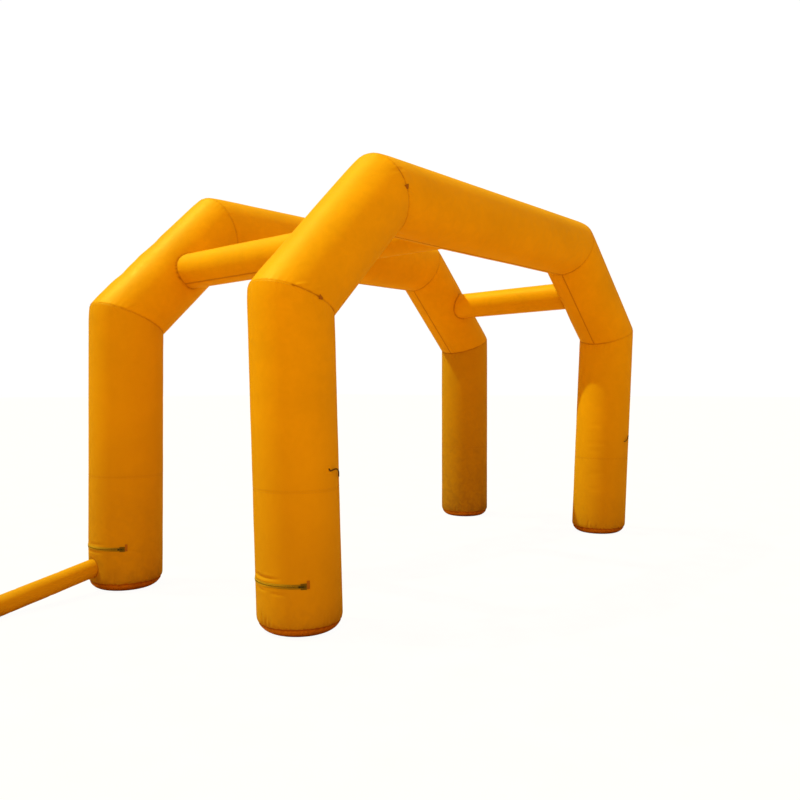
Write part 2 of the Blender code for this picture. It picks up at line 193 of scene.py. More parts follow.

# How dark each mitre seam is painted round its tubes, partly dirt and partly painted shade in its groove, as
# (angle in degrees, share), from the photograph
SEAM_SHADES = {
    ("front", "left_shoulder"): (
        (-180.0, 0.50),
        (-110.0, 0.40),
        (-60.0, 0.12),
        (40.0, 0.06),
        (48.0, 0.20),
        (51.0, 0.90),
        (57.0, 0.60),
        (78.0, 0.65),
        (90.0, 0.80),
        (96.0, 0.30),
        (106.0, 0.30),
        (116.0, 0.60),
        (135.0, 0.45),
        (180.0, 0.50),
    ),
    ("front", "left_crown"): (
        (-180.0, 0.70),
        (-110.0, 0.35),
        (0.0, 0.12),
        (52.0, 0.20),
        (64.0, 0.80),
        (82.0, 0.55),
        (96.0, 0.30),
        (118.0, 0.20),
        (140.0, 0.45),
        (180.0, 0.70),
    ),
    ("front", "right_crown"): (
        (-180.0, 0.60),
        (0.0, 0.25),
        (62.0, 0.38),
        (88.0, 0.10),
        (120.0, 0.22),
        (152.0, 0.55),
        (180.0, 0.65),
    ),
    ("front", "right_shoulder"): (
        (-180.0, 0.60),
        (30.0, 0.50),
        (62.0, 0.30),
        (92.0, 0.08),
        (140.0, 0.22),
        (165.0, 0.50),
        (180.0, 0.60),
    ),
    ("rear", "left_shoulder"): (
        (-180.0, 0.50),
        (-40.0, 0.12),
        (30.0, 0.14),
        (62.0, 0.34),
        (100.0, 0.45),
        (180.0, 0.55),
    ),
    ("rear", "left_crown"): (
        (-180.0, 0.50),
        (0.0, 0.12),
        (58.0, 0.12),
        (78.0, 0.32),
        (105.0, 0.20),
        (180.0, 0.55),
    ),
    ("rear", "right_crown"): (
        (-180.0, 0.50),
        (60.0, 0.15),
        (110.0, 0.30),
        (180.0, 0.60),
    ),
    ("rear", "right_shoulder"): (
        (-180.0, 0.50),
        (60.0, 0.20),
        (110.0, 0.30),
        (180.0, 0.55),
    ),
}

# Creases pressed into the cloth, as the photograph shows them, in degrees round the piece and metres
# from the floor, from its start or from its end. A negative depth is a ridge
CREASES = {
    # piece: ((measured from, angle and distance at one end, at the other end, bow, depth, width), ...)
    ("front", "left_leg"): (
        ("floor", -34.0, 0.419, 26.0, 0.409, -0.006, 0.0055, 0.011),
        ("floor", -34.0, 0.397, 14.0, 0.390, -0.004, -0.0035, 0.010),
        ("floor", -22.0, 0.331, 3.0, 0.319, -0.003, 0.0035, 0.009),
        ("floor", 8.0, 0.312, 34.0, 0.302, -0.002, 0.0025, 0.010),
        ("floor", -9.0, 0.078, -10.5, 0.175, 0.002, 0.0060, 0.010),
        ("floor", -1.5, 0.075, 0.5, 0.150, 0.002, 0.0050, 0.009),
        ("floor", 5.0, 0.074, 7.0, 0.128, 0.002, 0.0038, 0.008),
        ("floor", 47.0, 0.415, 62.0, 0.402, 0.004, 0.0022, 0.009),
        ("floor", 70.0, 0.395, 71.5, 0.432, 0.000, 0.0018, 0.007),
        ("floor", 118.0, 0.080, 113.0, 0.140, 0.003, 0.0030, 0.010),
        ("floor", 60.0, 1.128, 93.0, 1.122, 0.003, 0.0016, 0.010),
        ("end", 50.0, 0.004, 62.0, 0.055, 0.000, 0.0040, 0.012),
        ("end", 30.0, 0.006, 36.0, 0.070, 0.000, 0.0025, 0.014),
        ("end", 76.0, 0.004, 86.0, 0.095, 0.003, 0.0030, 0.011),
        ("end", 150.0, 0.004, 152.0, 0.120, 0.003, 0.0040, 0.013),
        ("end", 178.0, 0.003, 177.0, 0.150, 0.002, 0.0050, 0.012),
        ("end", -158.0, 0.004, -150.0, 0.130, 0.003, 0.0042, 0.013),
    ),
    ("front", "left_slope"): (
        ("start", 54.0, 0.003, 68.0, 0.065, 0.002, -0.0030, 0.012),
        ("start", 77.0, 0.003, 92.0, 0.110, 0.004, 0.0032, 0.012),
        ("start", 160.0, 0.003, 158.0, 0.150, 0.003, 0.0045, 0.012),
        ("start", -170.0, 0.003, -168.0, 0.140, 0.003, 0.0045, 0.012),
        ("end", 84.0, 0.003, 76.0, 0.080, 0.004, 0.0030, 0.011),
        ("end", 64.0, 0.004, 56.0, 0.090, 0.004, 0.0028, 0.012),
        ("end", 165.0, 0.003, 163.0, 0.110, 0.003, 0.0042, 0.013),
        ("end", -166.0, 0.003, -163.0, 0.130, 0.003, 0.0042, 0.013),
    ),
    ("front", "beam"): (
        ("start", 64.0, 0.003, 58.0, 0.075, 0.003, 0.0036, 0.011),
        ("start", 90.0, 0.003, 96.0, 0.090, 0.003, 0.0030, 0.010),
        ("start", 165.0, 0.003, 168.0, 0.140, 0.003, 0.0045, 0.013),
        ("start", -168.0, 0.003, -166.0, 0.120, 0.003, 0.0042, 0.013),
        ("end", 168.0, 0.003, 171.0, 0.150, 0.003, 0.0042, 0.013),
        ("end", -170.0, 0.003, -173.0, 0.120, 0.003, 0.0040, 0.013),
        ("end", 96.0, 0.004, 102.0, 0.070, 0.003, 0.0020, 0.012),
    ),
    ("front", "right_slope"): (
        ("start", 168.0, 0.003, 172.0, 0.110, 0.003, 0.0040, 0.013),
        ("start", -168.0, 0.003, -174.0, 0.130, 0.003, 0.0038, 0.013),
        ("end", 166.0, 0.003, 170.0, 0.120, 0.003, 0.0045, 0.012),
        ("end", 130.0, 0.003, 134.0, 0.070, 0.003, 0.0022, 0.012),
        ("end", 38.0, 0.003, 33.0, 0.060, 0.003, 0.0030, 0.011),
    ),
    ("front", "right_leg"): (
        ("start", 176.0, 0.003, 177.0, 0.085, 0.002, 0.0060, 0.011),
        ("start", 150.0, 0.004, 152.0, 0.110, 0.003, 0.0026, 0.014),
        ("start", 40.0, 0.003, 46.0, 0.060, 0.003, 0.0028, 0.011),
        ("floor", 150.0, 1.245, -170.0, 1.250, 0.004, 0.0036, 0.014),
        ("floor", 142.0, 1.050, -166.0, 1.043, -0.004, 0.0040, 0.013),
        ("floor", 152.0, 0.962, -172.0, 0.957, 0.003, 0.0034, 0.012),
        ("floor", 140.0, 0.705, -174.0, 0.696, 0.005, 0.0032, 0.014),
        ("floor", 150.0, 0.520, -176.0, 0.528, 0.004, 0.0026, 0.014),
        ("floor", 178.0, 0.078, 176.0, 0.180, 0.003, 0.0050, 0.011),
        ("floor", 160.0, 0.076, 158.0, 0.120, 0.003, 0.0034, 0.010),
        ("floor", 80.0, 0.076, 83.0, 0.118, 0.003, 0.0030, 0.010),
    ),
    ("rear", "left_leg"): (
        ("floor", -30.0, 0.402, 30.0, 0.399, -0.004, 0.0030, 0.011),
        ("floor", -26.0, 0.324, 22.0, 0.330, 0.003, 0.0026, 0.010),
        ("floor", 62.0, 0.352, 84.0, 0.318, 0.002, 0.0020, 0.010),
        ("floor", 8.0, 0.075, 6.0, 0.160, 0.003, 0.0045, 0.010),
        ("floor", 100.0, 0.077, 97.0, 0.130, 0.003, 0.0042, 0.009),
        ("floor", 126.0, 0.076, 128.0, 0.122, 0.003, 0.0036, 0.009),
        ("end", 40.0, 0.003, 44.0, 0.055, 0.002, 0.0034, 0.011),
        ("end", 140.0, 0.003, 143.0, 0.120, 0.003, 0.0034, 0.012),
        ("end", 172.0, 0.003, 172.0, 0.150, 0.003, 0.0048, 0.012),
        ("end", -160.0, 0.003, -155.0, 0.110, 0.003, 0.0040, 0.013),
    ),
    ("rear", "left_slope"): (
        ("start", -85.0, 0.400, 15.0, 0.410, 0.000, 0.0070, 0.060),
        ("start", -80.0, 0.655, 5.0, 0.660, 0.000, -0.0060, 0.055),
        ("start", -75.0, 0.850, 0.0, 0.855, 0.000, 0.0055, 0.050),
        ("start", 60.0, 0.003, 72.0, 0.085, 0.003, 0.0028, 0.012),
        ("start", 168.0, 0.003, 166.0, 0.140, 0.003, 0.0042, 0.012),
        ("start", -166.0, 0.003, -162.0, 0.120, 0.003, 0.0040, 0.012),
        ("end", 70.0, 0.003, 62.0, 0.090, 0.003, 0.0028, 0.012),
        ("end", 168.0, 0.003, 166.0, 0.110, 0.003, 0.0040, 0.013),
    ),
    ("rear", "beam"): (
        ("start", 70.0, 0.003, 64.0, 0.080, 0.003, 0.0030, 0.011),
        ("start", 168.0, 0.003, 172.0, 0.130, 0.003, 0.0042, 0.013),
        ("end", 170.0, 0.003, 173.0, 0.140, 0.003, 0.0042, 0.013),
        ("end", -168.0, 0.003, -172.0, 0.120, 0.003, 0.0038, 0.013),
    ),
    ("rear", "right_slope"): (
        ("start", 170.0, 0.003, 173.0, 0.120, 0.003, 0.0040, 0.013),
        ("start", -168.0, 0.003, -173.0, 0.110, 0.003, 0.0038, 0.013),
        ("end", 168.0, 0.003, 171.0, 0.130, 0.003, 0.0044, 0.012),
    ),
    ("rear", "right_leg"): (
        ("start", 172.0, 0.003, 174.0, 0.110, 0.002, 0.0052, 0.011),
        ("start", -165.0, 0.003, -158.0, 0.120, 0.003, 0.0040, 0.013),
        ("floor", 168.0, 0.076, 166.0, 0.150, 0.003, 0.0045, 0.010),
        ("floor", 120.0, 0.076, 123.0, 0.122, 0.003, 0.0036, 0.010),
    ),
}

# How finely the cloth is divided: steps between rows of its mesh, beside a seam and along the legs
COLUMNS = 232
CROSS_COLUMNS = 144
MIDDLE_STEP = 0.028
SEAM_ROWS = (
    # distance from the seam, step between rows there
    (0.000, 0.0018),
    (0.020, 0.0060),
    (0.060, 0.0110),
    (0.150, 0.0220),
)
FOOT_ROWS = (
    (0.000, 0.0018),
    (0.020, 0.0055),
    (0.110, 0.0110),
)
ZIP_ROWS = (
    (0.220, 0.0110),
    (0.240, 0.0055),
    (0.365, 0.0055),
    (0.400, 0.0200),
)
RING_FINE_STEP = 0.0045
RING_FINE_REACH = 0.020
LEG_STEP = 0.024
CORD_POINTS_PER_SPAN = 4

# The photograph's camera, found from the tubes' edges: its place, where it looks and its up direction
CAMERA_PLACE = (-6.032, -4.100, 1.678)
CAMERA_FORWARD = (0.7606, 0.6491, -0.0152)
CAMERA_UP = (0.0124, 0.0089, 0.9999)
CAMERA_LENS = 35.12


def to_part(point):
    """The point in the part's own frame, from the frame that the tables above are in."""
    return np.array(point, float) - (*FOOTPRINT_MIDDLE, 0.0)


def unit(vector):
    return vector / np.linalg.norm(vector)


FRONT = np.array((0.0, -1.0, 0.0))
UP = np.array((0.0, 0.0, 1.0))


def wrapped(angle):
    """The angle brought to between minus and plus half a turn."""
    return (angle + math.pi) % math.tau - math.pi


class Line:
    """A tube's straight axis, with the directions that its angles are measured from."""

    def __init__(self, start, end, radius, reference):
        self.start = np.array(start, float)
        self.length = np.linalg.norm(np.array(end) - self.start)
        self.along = (np.array(end) - self.start) / self.length
        self.front = unit(reference - reference @ self.along * self.along)
        self.out = np.cross(self.front, self.along)
        self.radius = radius

    def radial(self, angle):
        angle = np.asarray(angle, float)[..., None]
        return np.cos(angle) * self.out + np.sin(angle) * self.front

    def point(self, angle, distance, radius):
        distance, radius = np.broadcast_arrays(distance, radius)
        return self.start + distance[..., None] * self.along + radius[..., None] * self.radial(angle)

    def reach(self, angle, radius, point, normal):
        """How far along the axis each side of the tube meets a plane."""
        radius = np.broadcast_to(radius, np.shape(angle))
        lever = self.start + radius[..., None] * self.radial(angle)
        return ((np.asarray(point) - lever) @ normal) / (self.along @ normal)

    def at_height(self, angle, radius, height):
        height = np.broadcast_to(height, np.shape(angle))
        reach = (height - self.point(angle, np.zeros(np.shape(angle)), radius)[..., 2]) / self.along[2]
        return self.point(angle, reach, radius)

    def offset_from_axis(self, points):
        """How far points are from the axis, and how far along it."""
        span = points - self.start
        distance = span @ self.along
        return np.linalg.norm(span - distance[..., None] * self.along, axis=-1), distance


class Gathers:
    """Small uneven gathers along a seam: where each sits, how wide and deep it is and how far it reaches."""

    def __init__(self, seed, count, depth, width, reach, inner=0.0):
        rng = np.random.default_rng(seed)
        self.angle = (np.arange(count) + rng.uniform(-0.36, 0.36, count)) * math.tau / count
        self.depth = depth * rng.uniform(0.35, 1.25, count)
        self.depth *= 1.0 + inner * np.maximum(0.0, -np.cos(self.angle))
        self.width = width * rng.uniform(0.65, 1.35, count)
        self.reach = reach * rng.uniform(0.55, 1.6, count)

    def offset(self, angle, distance, radius):
        total = np.zeros(np.shape(angle))
        for where, depth, width, reach in zip(self.angle, self.depth, self.width, self.reach):
            across = wrapped(angle - where) * radius / width
            rise = np.maximum(distance, 0.0) / (0.3 * reach)
            total -= depth * np.exp(-(across**2)) * rise * np.exp(1.0 - rise)
        return total


class Ragged:
    """An uneven edge round a tube, between its least and its greatest width."""

    def __init__(self, seed, count, least, greatest):
        rng = np.random.default_rng(seed)
        self.angle = np.linspace(-math.pi, math.pi, count + 1)
        share = rng.uniform(0.0, 1.0, count) ** 1.8
        self.value = least + (greatest - least) * np.append(share, share[0])

    def width(self, angle):
        return np.interp(wrapped(angle), self.angle, self.value)


def crease_offset(u, v, crease_ends, bow, depth, width):
    """A soft trough along a bowed line on the unrolled cloth, with slight shoulders, fading at its ends."""
    (u0, v0), (u1, v1) = crease_ends
    span = np.array((u1 - u0, v1 - v0))
    length = np.hypot(*span)
    along = span / length
    share = ((u - u0) * along[0] + (v - v0) * along[1]) / length
    across = (v - v0) * along[0] - (u - u0) * along[1] - bow * 4.0 * share * (1.0 - share)
    fade = np.clip((share + 0.06) / 0.22, 0.0, 1.0) * np.clip((1.10 - share) / 0.55, 0.0, 1.0)
    fade = fade * fade * (3.0 - 2.0 * fade)
    trough = np.exp(-((across / width) ** 2))
    shoulders = np.exp(-(((np.abs(across) - 2.1 * width) / (1.1 * width)) ** 2))
    return -depth * fade * (trough - 0.28 * shoulders)


def unevenness(seed, angle, distance, size):
    """The slight, broad unevenness of a blown-up tube."""
    rng = np.random.default_rng(seed)
    total = np.zeros(np.broadcast(angle, distance).shape)
    for turns in (1, 2, 3, 5):
        for wave_length in (1.9, 0.8, 0.37):
            phase, drift = rng.uniform(0.0, math.tau, 2)
            strength = rng.uniform(0.3, 1.0) * (wave_length / 1.9) ** 0.6 / turns**0.5
            wave = np.sin(math.tau * distance / wave_length + drift)
            total += strength * np.sin(turns * angle + phase) * wave
    return size * total / 2.2


class PlaneEnd:
    """An end that is sewn along a plane: a mitre between two tubes, or the level seam above a base panel."""

    def __init__(self, point, normal, draw, gathers, shades, edge):
        self.point, self.normal = point, normal
        self.draw, self.gathers = draw, gathers
        self.shades, self.edge = np.array(shades), edge

    def reach(self, line, angle, radius):
        return line.reach(angle, radius, self.point, self.normal)

    def shade(self, angle, clear):
        """How dark the seam is painted at this distance from it: dirt, and painted shade in its groove."""
        strength = np.interp(np.degrees(wrapped(angle)), self.shades[:, 0], self.shades[:, 1])
        width = self.edge.width(angle)
        return strength * np.exp(-((clear / width) ** 2))


class SaddleEnd:
    """An end that is sewn to the side of another tube."""

    def __init__(self, other, depth, side, gathers):
        self.other, self.depth, self.side = other, depth, side
        self.draw, self.gathers = 0.0, gathers
        self.edge = Ragged(3, 60, 0.008, 0.012)

    def reach(self, line, angle, radius):
        axis = self.other.along
        radius = np.broadcast_to(radius, np.shape(angle))
        lever = line.start + radius[..., None] * line.radial(angle) - self.other.start
        lever = lever - (lever @ axis)[..., None] * axis
        step = line.along - (line.along @ axis) * axis
        square = step @ step
        half = lever @ step
        rest = (lever**2).sum(axis=-1) - (self.other.radius - self.depth) ** 2
        return (self.side * np.sqrt(half**2 - square * rest) - half) / square

    def shade(self, angle, clear):
        # Painted dark along the seam: dirt, and painted shade where this tube meets the other
        return 0.55 * np.exp(-((clear / self.edge.width(angle)) ** 2))


class Branch:
    """A tube that is sewn to the side of this one: the cloth dips and gathers round its seam."""

    def __init__(self, line, side, gathers):
        self.line, self.side, self.gathers = line, side, gathers

    def offset(self, points):
        far, along = self.line.offset_from_axis(points)
        span = points - self.line.start
        turn = np.arctan2(span @ self.line.front, span @ self.line.out)
        facing = along > 0.0 if self.side > 0 else along < self.line.length
        out = far - self.line.radius
        groove = 0.0025 * np.exp(-((out / 0.011) ** 2))
        draw = 0.0050 * np.exp(-((np.maximum(out, 0.0) / 0.060) ** 2))
        gather = self.gathers.offset(turn, out, self.line.radius)
        # The second value paints the seam round the branch dark: dirt, and painted shade where the tubes
        # meet
        return facing * (gather - groove - draw), facing * 0.60 * np.exp(-((out / 0.008) ** 2))


class ClothTube:
    """One piece of blown-up cloth, with all that shapes its surface."""

    def __init__(self, name, line, start_end, end_end, seed):
        self.name, self.line, self.seed = name, line, seed
        self.ends = (start_end, end_end)
        self.long_seams = ()
        self.rings = ()
        self.creases = ()
        self.branches = []
        self.calm = []
        self.foot = False
        self.uneven = 0.0016
        self.steps = [SEAM_ROWS, SEAM_ROWS]

    def height(self, angle, distance):
        return self.line.point(angle, distance, self.line.radius)[..., 2]

    def near_ends(self, angle, distance):
        """Distances along the axis from the seam at each end."""
        start, end = self.ends
        radius = self.line.radius
        from_start = distance - start.reach(self.line, angle, radius)
        to_end = end.reach(self.line, angle, radius) - distance
        return from_start, to_end

    def foot_radius(self, height):
        turn = np.clip(1.0 - height / FOOT_TURN_HEIGHT, 0.0, 1.0)
        return FOOT_FLAT_R + (self.line.radius - FOOT_FLAT_R) * np.sqrt(1.0 - turn**2)

    def shape(self, angle, distance):
        """The cloth's radius at these places, and how much each lies in a seam, from 0 to 1, which paints it
        darker: dirt, and painted shade in the seam's groove.
        """
        radius = self.line.radius
        points = self.line.point(angle, distance, radius)
        height = points[..., 2]
        nears = self.near_ends(angle, distance)
        offset = np.zeros(np.shape(distance))
        # How dark the seams are painted: dirt, and painted shade in their grooves
        seam = np.zeros(np.shape(distance))
        for end, near in zip(self.ends, nears):
            clear = np.maximum(near, 0.0)
            outer = np.maximum(0.0, np.cos(angle)) ** 2
            offset -= end.draw * outer * np.maximum(0.0, 1.0 - clear / CORNER_REACH) ** 2
            offset -= 0.003 * np.maximum(0.0, 1.0 - clear / SEAM_REACH) ** 2
            offset -= 0.0015 * np.exp(-((clear / 0.0035) ** 2))
            if end.gathers:
                offset += end.gathers.offset(angle, clear, radius)
            seam = np.maximum(seam, end.shade(angle, clear))
        for seam_angle in self.long_seams:
            across = wrapped(angle - seam_angle) * radius
            ripple = 0.0006 * np.sin(distance * 150.0 + 2.0 * np.sin(distance * 31.0))
            offset -= 0.0020 * np.exp(-((across / 0.0035) ** 2))
            offset += ripple * np.exp(-((across / 0.022) ** 2))
            offset += 0.0009 * (across > 0.002) * (across < 0.014)
            seam = np.maximum(seam, 0.70 * np.exp(-((across / 0.0050) ** 2)))
        for ring_height, gathers in self.rings:
            across = np.abs(height - ring_height)
            offset -= 0.0009 * np.exp(-((across / 0.0045) ** 2))
            offset += gathers.offset(angle, across, radius)
            seam = np.maximum(seam, 0.10 * np.exp(-((across / 0.0050) ** 2)))
        for where, angle0, v0, angle1, v1, bow, depth, width in self.creases:
            turn0, turn1 = math.radians(angle0), math.radians(angle1)
            middle = turn0 + 0.5 * wrapped(turn1 - turn0)
            ends = ((wrapped(turn0 - middle) * radius, v0), (wrapped(turn1 - middle) * radius, v1))
            u = wrapped(angle - middle) * radius
            v = {"floor": height, "start": nears[0], "end": nears[1]}[where]
            offset += crease_offset(u, v, ends, bow, depth, width)
        for branch in self.branches:
            dip, line = branch.offset(points)
            offset += dip
            seam = np.maximum(seam, line)
        uneven = unevenness(self.seed, angle, distance, self.uneven)
        for first, last, calm_height, reach in self.calm:
            aside = np.abs(wrapped(angle - 0.5 * (first + last))) - 0.5 * (last - first)
            far = np.hypot(np.maximum(aside, 0.0) * radius, height - calm_height)
            uneven = uneven * np.clip((far - reach) / 0.08, 0.0, 1.0)
        settle = np.clip(np.minimum(*nears) / 0.08, 0.0, 1.0)
        base = self.foot_radius(height) if self.foot else radius
        return base + offset + uneven * settle, seam

    def surface(self, angle, distance, lift=0.0):
        """Points on the cloth, and how much each lies in a seam."""
        angle, distance = np.broadcast_arrays(np.asarray(angle, float), np.asarray(distance, float))
        radius, seam = self.shape(angle, distance)
        shift = np.zeros(np.shape(distance))
        for end, near in zip(self.ends, self.near_ends(angle, distance)):
            moved = end.reach(self.line, angle, radius) - end.reach(self.line, angle, self.line.radius)
            shift += moved * np.clip(1.0 - near / 0.15, 0.0, 1.0)
        return self.line.point(angle, distance + shift, radius + lift), seam

    def at_height(self, angle, height, lift=0.0):
        """Points on the cloth at a height above the floor."""
        angle, height = np.broadcast_arrays(np.asarray(angle, float), np.asarray(height, float))
        distance = (height - self.height(angle, np.zeros(np.shape(angle)))) / self.line.along[2]
        return self.surface(angle, distance, lift)[0]

    def rows(self, angle, middle_step=MIDDLE_STEP):
        """How far along the axis each row of the mesh lies, at each angle."""
        start, end = (side.reach(self.line, angle, self.line.radius) for side in self.ends)
        near, far = (graded(steps) for steps in self.steps)
        first = start + near[:, None] + 0.5 * SEAM_GAP
        last = end - far[::-1, None] - 0.5 * SEAM_GAP
        count = max(2, int(np.max(last[0] - first[-1]) / middle_step))
        share = np.linspace(0.0, 1.0, count + 1)[1:-1, None]
        return np.concatenate((first, first[-1] + share * (last[0] - first[-1]), last))

    def angles(self, columns):
        """The angle of each column of the mesh, with closer ones beside a long seam."""
        spread = list(np.linspace(-math.pi, math.pi, columns, endpoint=False))
        for seam_angle in self.long_seams:
            for side in (-0.0045, -0.0022, 0.0, 0.0022, 0.0045, 0.0140):
                spread.append(float(wrapped(seam_angle + side / self.line.radius)))
        return np.array(sorted(set(np.round(spread, 6))))


def graded(stops):
    """Distances from the first stop to the last, with a step that changes evenly from stop to stop."""
    places, steps = zip(*stops)
    found = [places[0]]
    while found[-1] < places[-1]:
        found.append(found[-1] + float(np.interp(found[-1], places, steps)))
    return np.array(found)


def build_mesh(name, points, uv, values):
    """A closed mesh through rows of points, with a fan over each end and named point attributes."""
    rows, columns = points.shape[:2]
    index = np.arange(rows * columns).reshape(rows, columns)
    following = np.roll(index, -1, axis=1)
    quads = np.stack((index[:-1], following[:-1], following[1:], index[1:]), axis=-1).reshape(-1, 4)
    low, high = rows * columns, rows * columns + 1
    fans = [(low, b, a) for a, b in zip(index[0], following[0])]
    fans += [(high, a, b) for a, b in zip(index[-1], following[-1])]
    centres = np.stack((points[0].mean(axis=0), points[-1].mean(axis=0)))
    vertices = np.concatenate((points.reshape(-1, 3), centres))
    step = np.concatenate((uv[:, 1:], uv[:, :1] + (uv[:, -1:] - uv[:, -2:-1]) * columns), axis=1)
    corners = np.stack((uv[:-1], step[:-1], step[1:], uv[1:]), axis=2).reshape(-1, 2)
    fan_corners = np.zeros((3 * len(fans), 2))
    tetra = vertices[quads]
    volume = np.einsum("ij,ij->i", tetra[:, 0], np.cross(tetra[:, 1], tetra[:, 2])).sum()
    volume += np.einsum("ij,ij->i", tetra[:, 0], np.cross(tetra[:, 2], tetra[:, 3])).sum()
    faces = quads.tolist() + fans
    corners = np.concatenate((corners, fan_corners))
    if volume < 0.0:
        faces = [face[::-1] for face in faces]
        quad_corners = corners[: 4 * len(quads)].reshape(-1, 4, 2)[:, ::-1].reshape(-1, 2)
        corners = np.concatenate((quad_corners, fan_corners))
    mesh = bpy.data.meshes.new(name)
    mesh.from_pydata(vertices.tolist(), [], faces)
    layer = mesh.uv_layers.new(name="cloth")
    layer.data.foreach_set("uv", corners.astype(np.float32).ravel())
    for label, value in values.items():
        column = np.append(np.broadcast_to(value, (rows, columns)).ravel(), (0.0, 0.0))
        attribute = mesh.attributes.new(label, "FLOAT", "POINT")
        attribute.data.foreach_set("value", column.astype(np.float32))
    mesh.shade_smooth()
    mesh.set_sharp_from_angle(angle=math.radians(60.0))
    return mesh


def live_socket(sockets, key):
    """The socket with this name or in this place, among those in use."""
    live = [socket for socket in sockets if socket.enabled]
    return live[key] if isinstance(key, int) else next(socket for socket in live if socket.name == key)


class Tree:
    """Adds nodes to a tree and joins them up."""

    def __init__(self, tree):
        self.tree = tree

    def add(self, kind, inputs=None, **settings):
        """A new node's first output. Each input is a value or the output that it takes."""
        node = self.tree.nodes.new(kind)
        for name, value in settings.items():
            setattr(node, name, value)
        for key, value in (inputs or {}).items():
            target = live_socket(node.inputs, key)
            if isinstance(value, bpy.types.NodeSocket):
                self.tree.links.new(value, target)
            else:
                target.default_value = value
        return live_socket(node.outputs, 0) if node.outputs else node

    def math(self, operation, *values):
        return self.add("ShaderNodeMath", dict(enumerate(values)), operation=operation)

    def mix(self, share, first, second, blend="MIX"):
        """Mixes two colours."""
        inputs = {"Factor": share, "A": first, "B": second}
        return self.add("ShaderNodeMix", inputs, data_type="RGBA", blend_type=blend)

    def noise(self, where, scale, detail=3.0, distortion=0.0):
        inputs = {"Vector": where, "Scale": scale, "Detail": detail, "Distortion": distortion}
        return self.add("ShaderNodeTexNoise", inputs)

    def spread(self, value, low, high, to_low=0.0, to_high=1.0):
        """A value brought from one range to another."""
        return self.add("ShaderNodeMapRange", {0: value, 1: low, 2: high, 3: to_low, 4: to_high})


def rgba(colour, share=1.0):
    return (*(share * channel for channel in colour), 1.0)


def new_material(name, roughness):
    """A material with its shader, its tree and its coordinates."""
    material = bpy.data.materials.new(name)
    material.use_nodes = True
    shader = material.node_tree.nodes["Principled BSDF"]
    shader.inputs["Roughness"].default_value = roughness
    tree = Tree(material.node_tree)
    place = tree.add("ShaderNodeTexCoord").node.outputs["Object"]
    return material, shader, tree, place


def join(tree, output, shader, name):
    tree.tree.links.new(output, shader.inputs[name])


def woven_height(tree, pitch):
    """Height of a plain weave whose threads follow the piece's own map."""
    where = tree.add("ShaderNodeUVMap", uv_map="cloth")
    scale = math.tau / (20.0 * pitch)
    warp = tree.add(
        "ShaderNodeTexWave", {"Vector": where, "Scale": scale}, bands_direction="X"
    ).node.outputs[1]
    weft = tree.add(
        "ShaderNodeTexWave", {"Vector": where, "Scale": scale}, bands_direction="Y"
    ).node.outputs[1]
    return tree.math("MULTIPLY", tree.math("ADD", warp, weft), 0.5)


def cloth_material(name, colour, dust_and_shade_colour, seam_dirt_and_shade_colour, roughness, weave, ripple):
    """Coated cloth under a smooth coat: slight ripples and marks, painted darker towards the floor and with
    painted shade where an attribute says, and dark seams, partly dirt and partly painted shade.
    """
    material, shader, tree, place = new_material(name, roughness)
    broad = tree.noise(place, 1.7, 4.0, 0.4)
    small = tree.noise(place, 14.0, 5.0, 0.8)
    grain = tree.noise(place, 420.0, 2.0)
    tone = tree.spread(broad, 0.30, 0.70, 0.93, 1.05)
    tone = tree.math("MULTIPLY", tone, tree.spread(small, 0.30, 0.70, 0.97, 1.03))
    paint = tree.add("ShaderNodeVectorMath", {0: colour, "Scale": tone}, operation="SCALE")
    # The attribute read here paints the cloth darker: darker towards the floor, dust, and painted shade on
    # the rear legs, under the base panels and inside the sleeve's mouth
    soil = tree.add("ShaderNodeAttribute", attribute_name="soil").node.outputs["Fac"]
    patchy = tree.math("MULTIPLY", soil, tree.spread(small, 0.25, 0.75, 0.80, 1.12))
    paint = tree.mix(patchy, paint, rgba(dust_and_shade_colour))
    scuff = tree.math("MULTIPLY", tree.spread(tree.noise(place, 55.0, 6.0, 1.5), 0.66, 0.76), 0.10)
    paint = tree.mix(scuff, paint, rgba(colour, 1.12))
    # The seam attribute paints the seams darker: partly dirt, partly painted shade in their grooves
    seam = tree.add("ShaderNodeAttribute", attribute_name="seam").node.outputs["Fac"]
    paint = tree.mix(seam, paint, rgba(seam_dirt_and_shade_colour))
    join(tree, paint, shader, "Base Color")
    rough = tree.spread(small, 0.25, 0.75, roughness - 0.05, roughness + 0.06)
    rough = tree.math("ADD", rough, tree.math("MULTIPLY", soil, 0.15))
    join(tree, rough, shader, "Roughness")
    height = tree.math("ADD", woven_height(tree, weave), tree.math("MULTIPLY", grain, 0.4))
    fine = tree.add("ShaderNodeBump", {"Height": height, "Strength": 0.35, "Distance": 0.00025})
    soft = tree.noise(place, 7.5, 2.0, 0.6)
    bump = tree.add("ShaderNodeBump", {"Height": soft, "Strength": 0.25, "Distance": ripple, "Normal": fine})
    join(tree, bump, shader, "Normal")
    shader.inputs["Specular IOR Level"].default_value = 0.35
    shader.inputs["Specular Tint"].default_value = rgba((1.0, 0.50, 0.06))
    return material


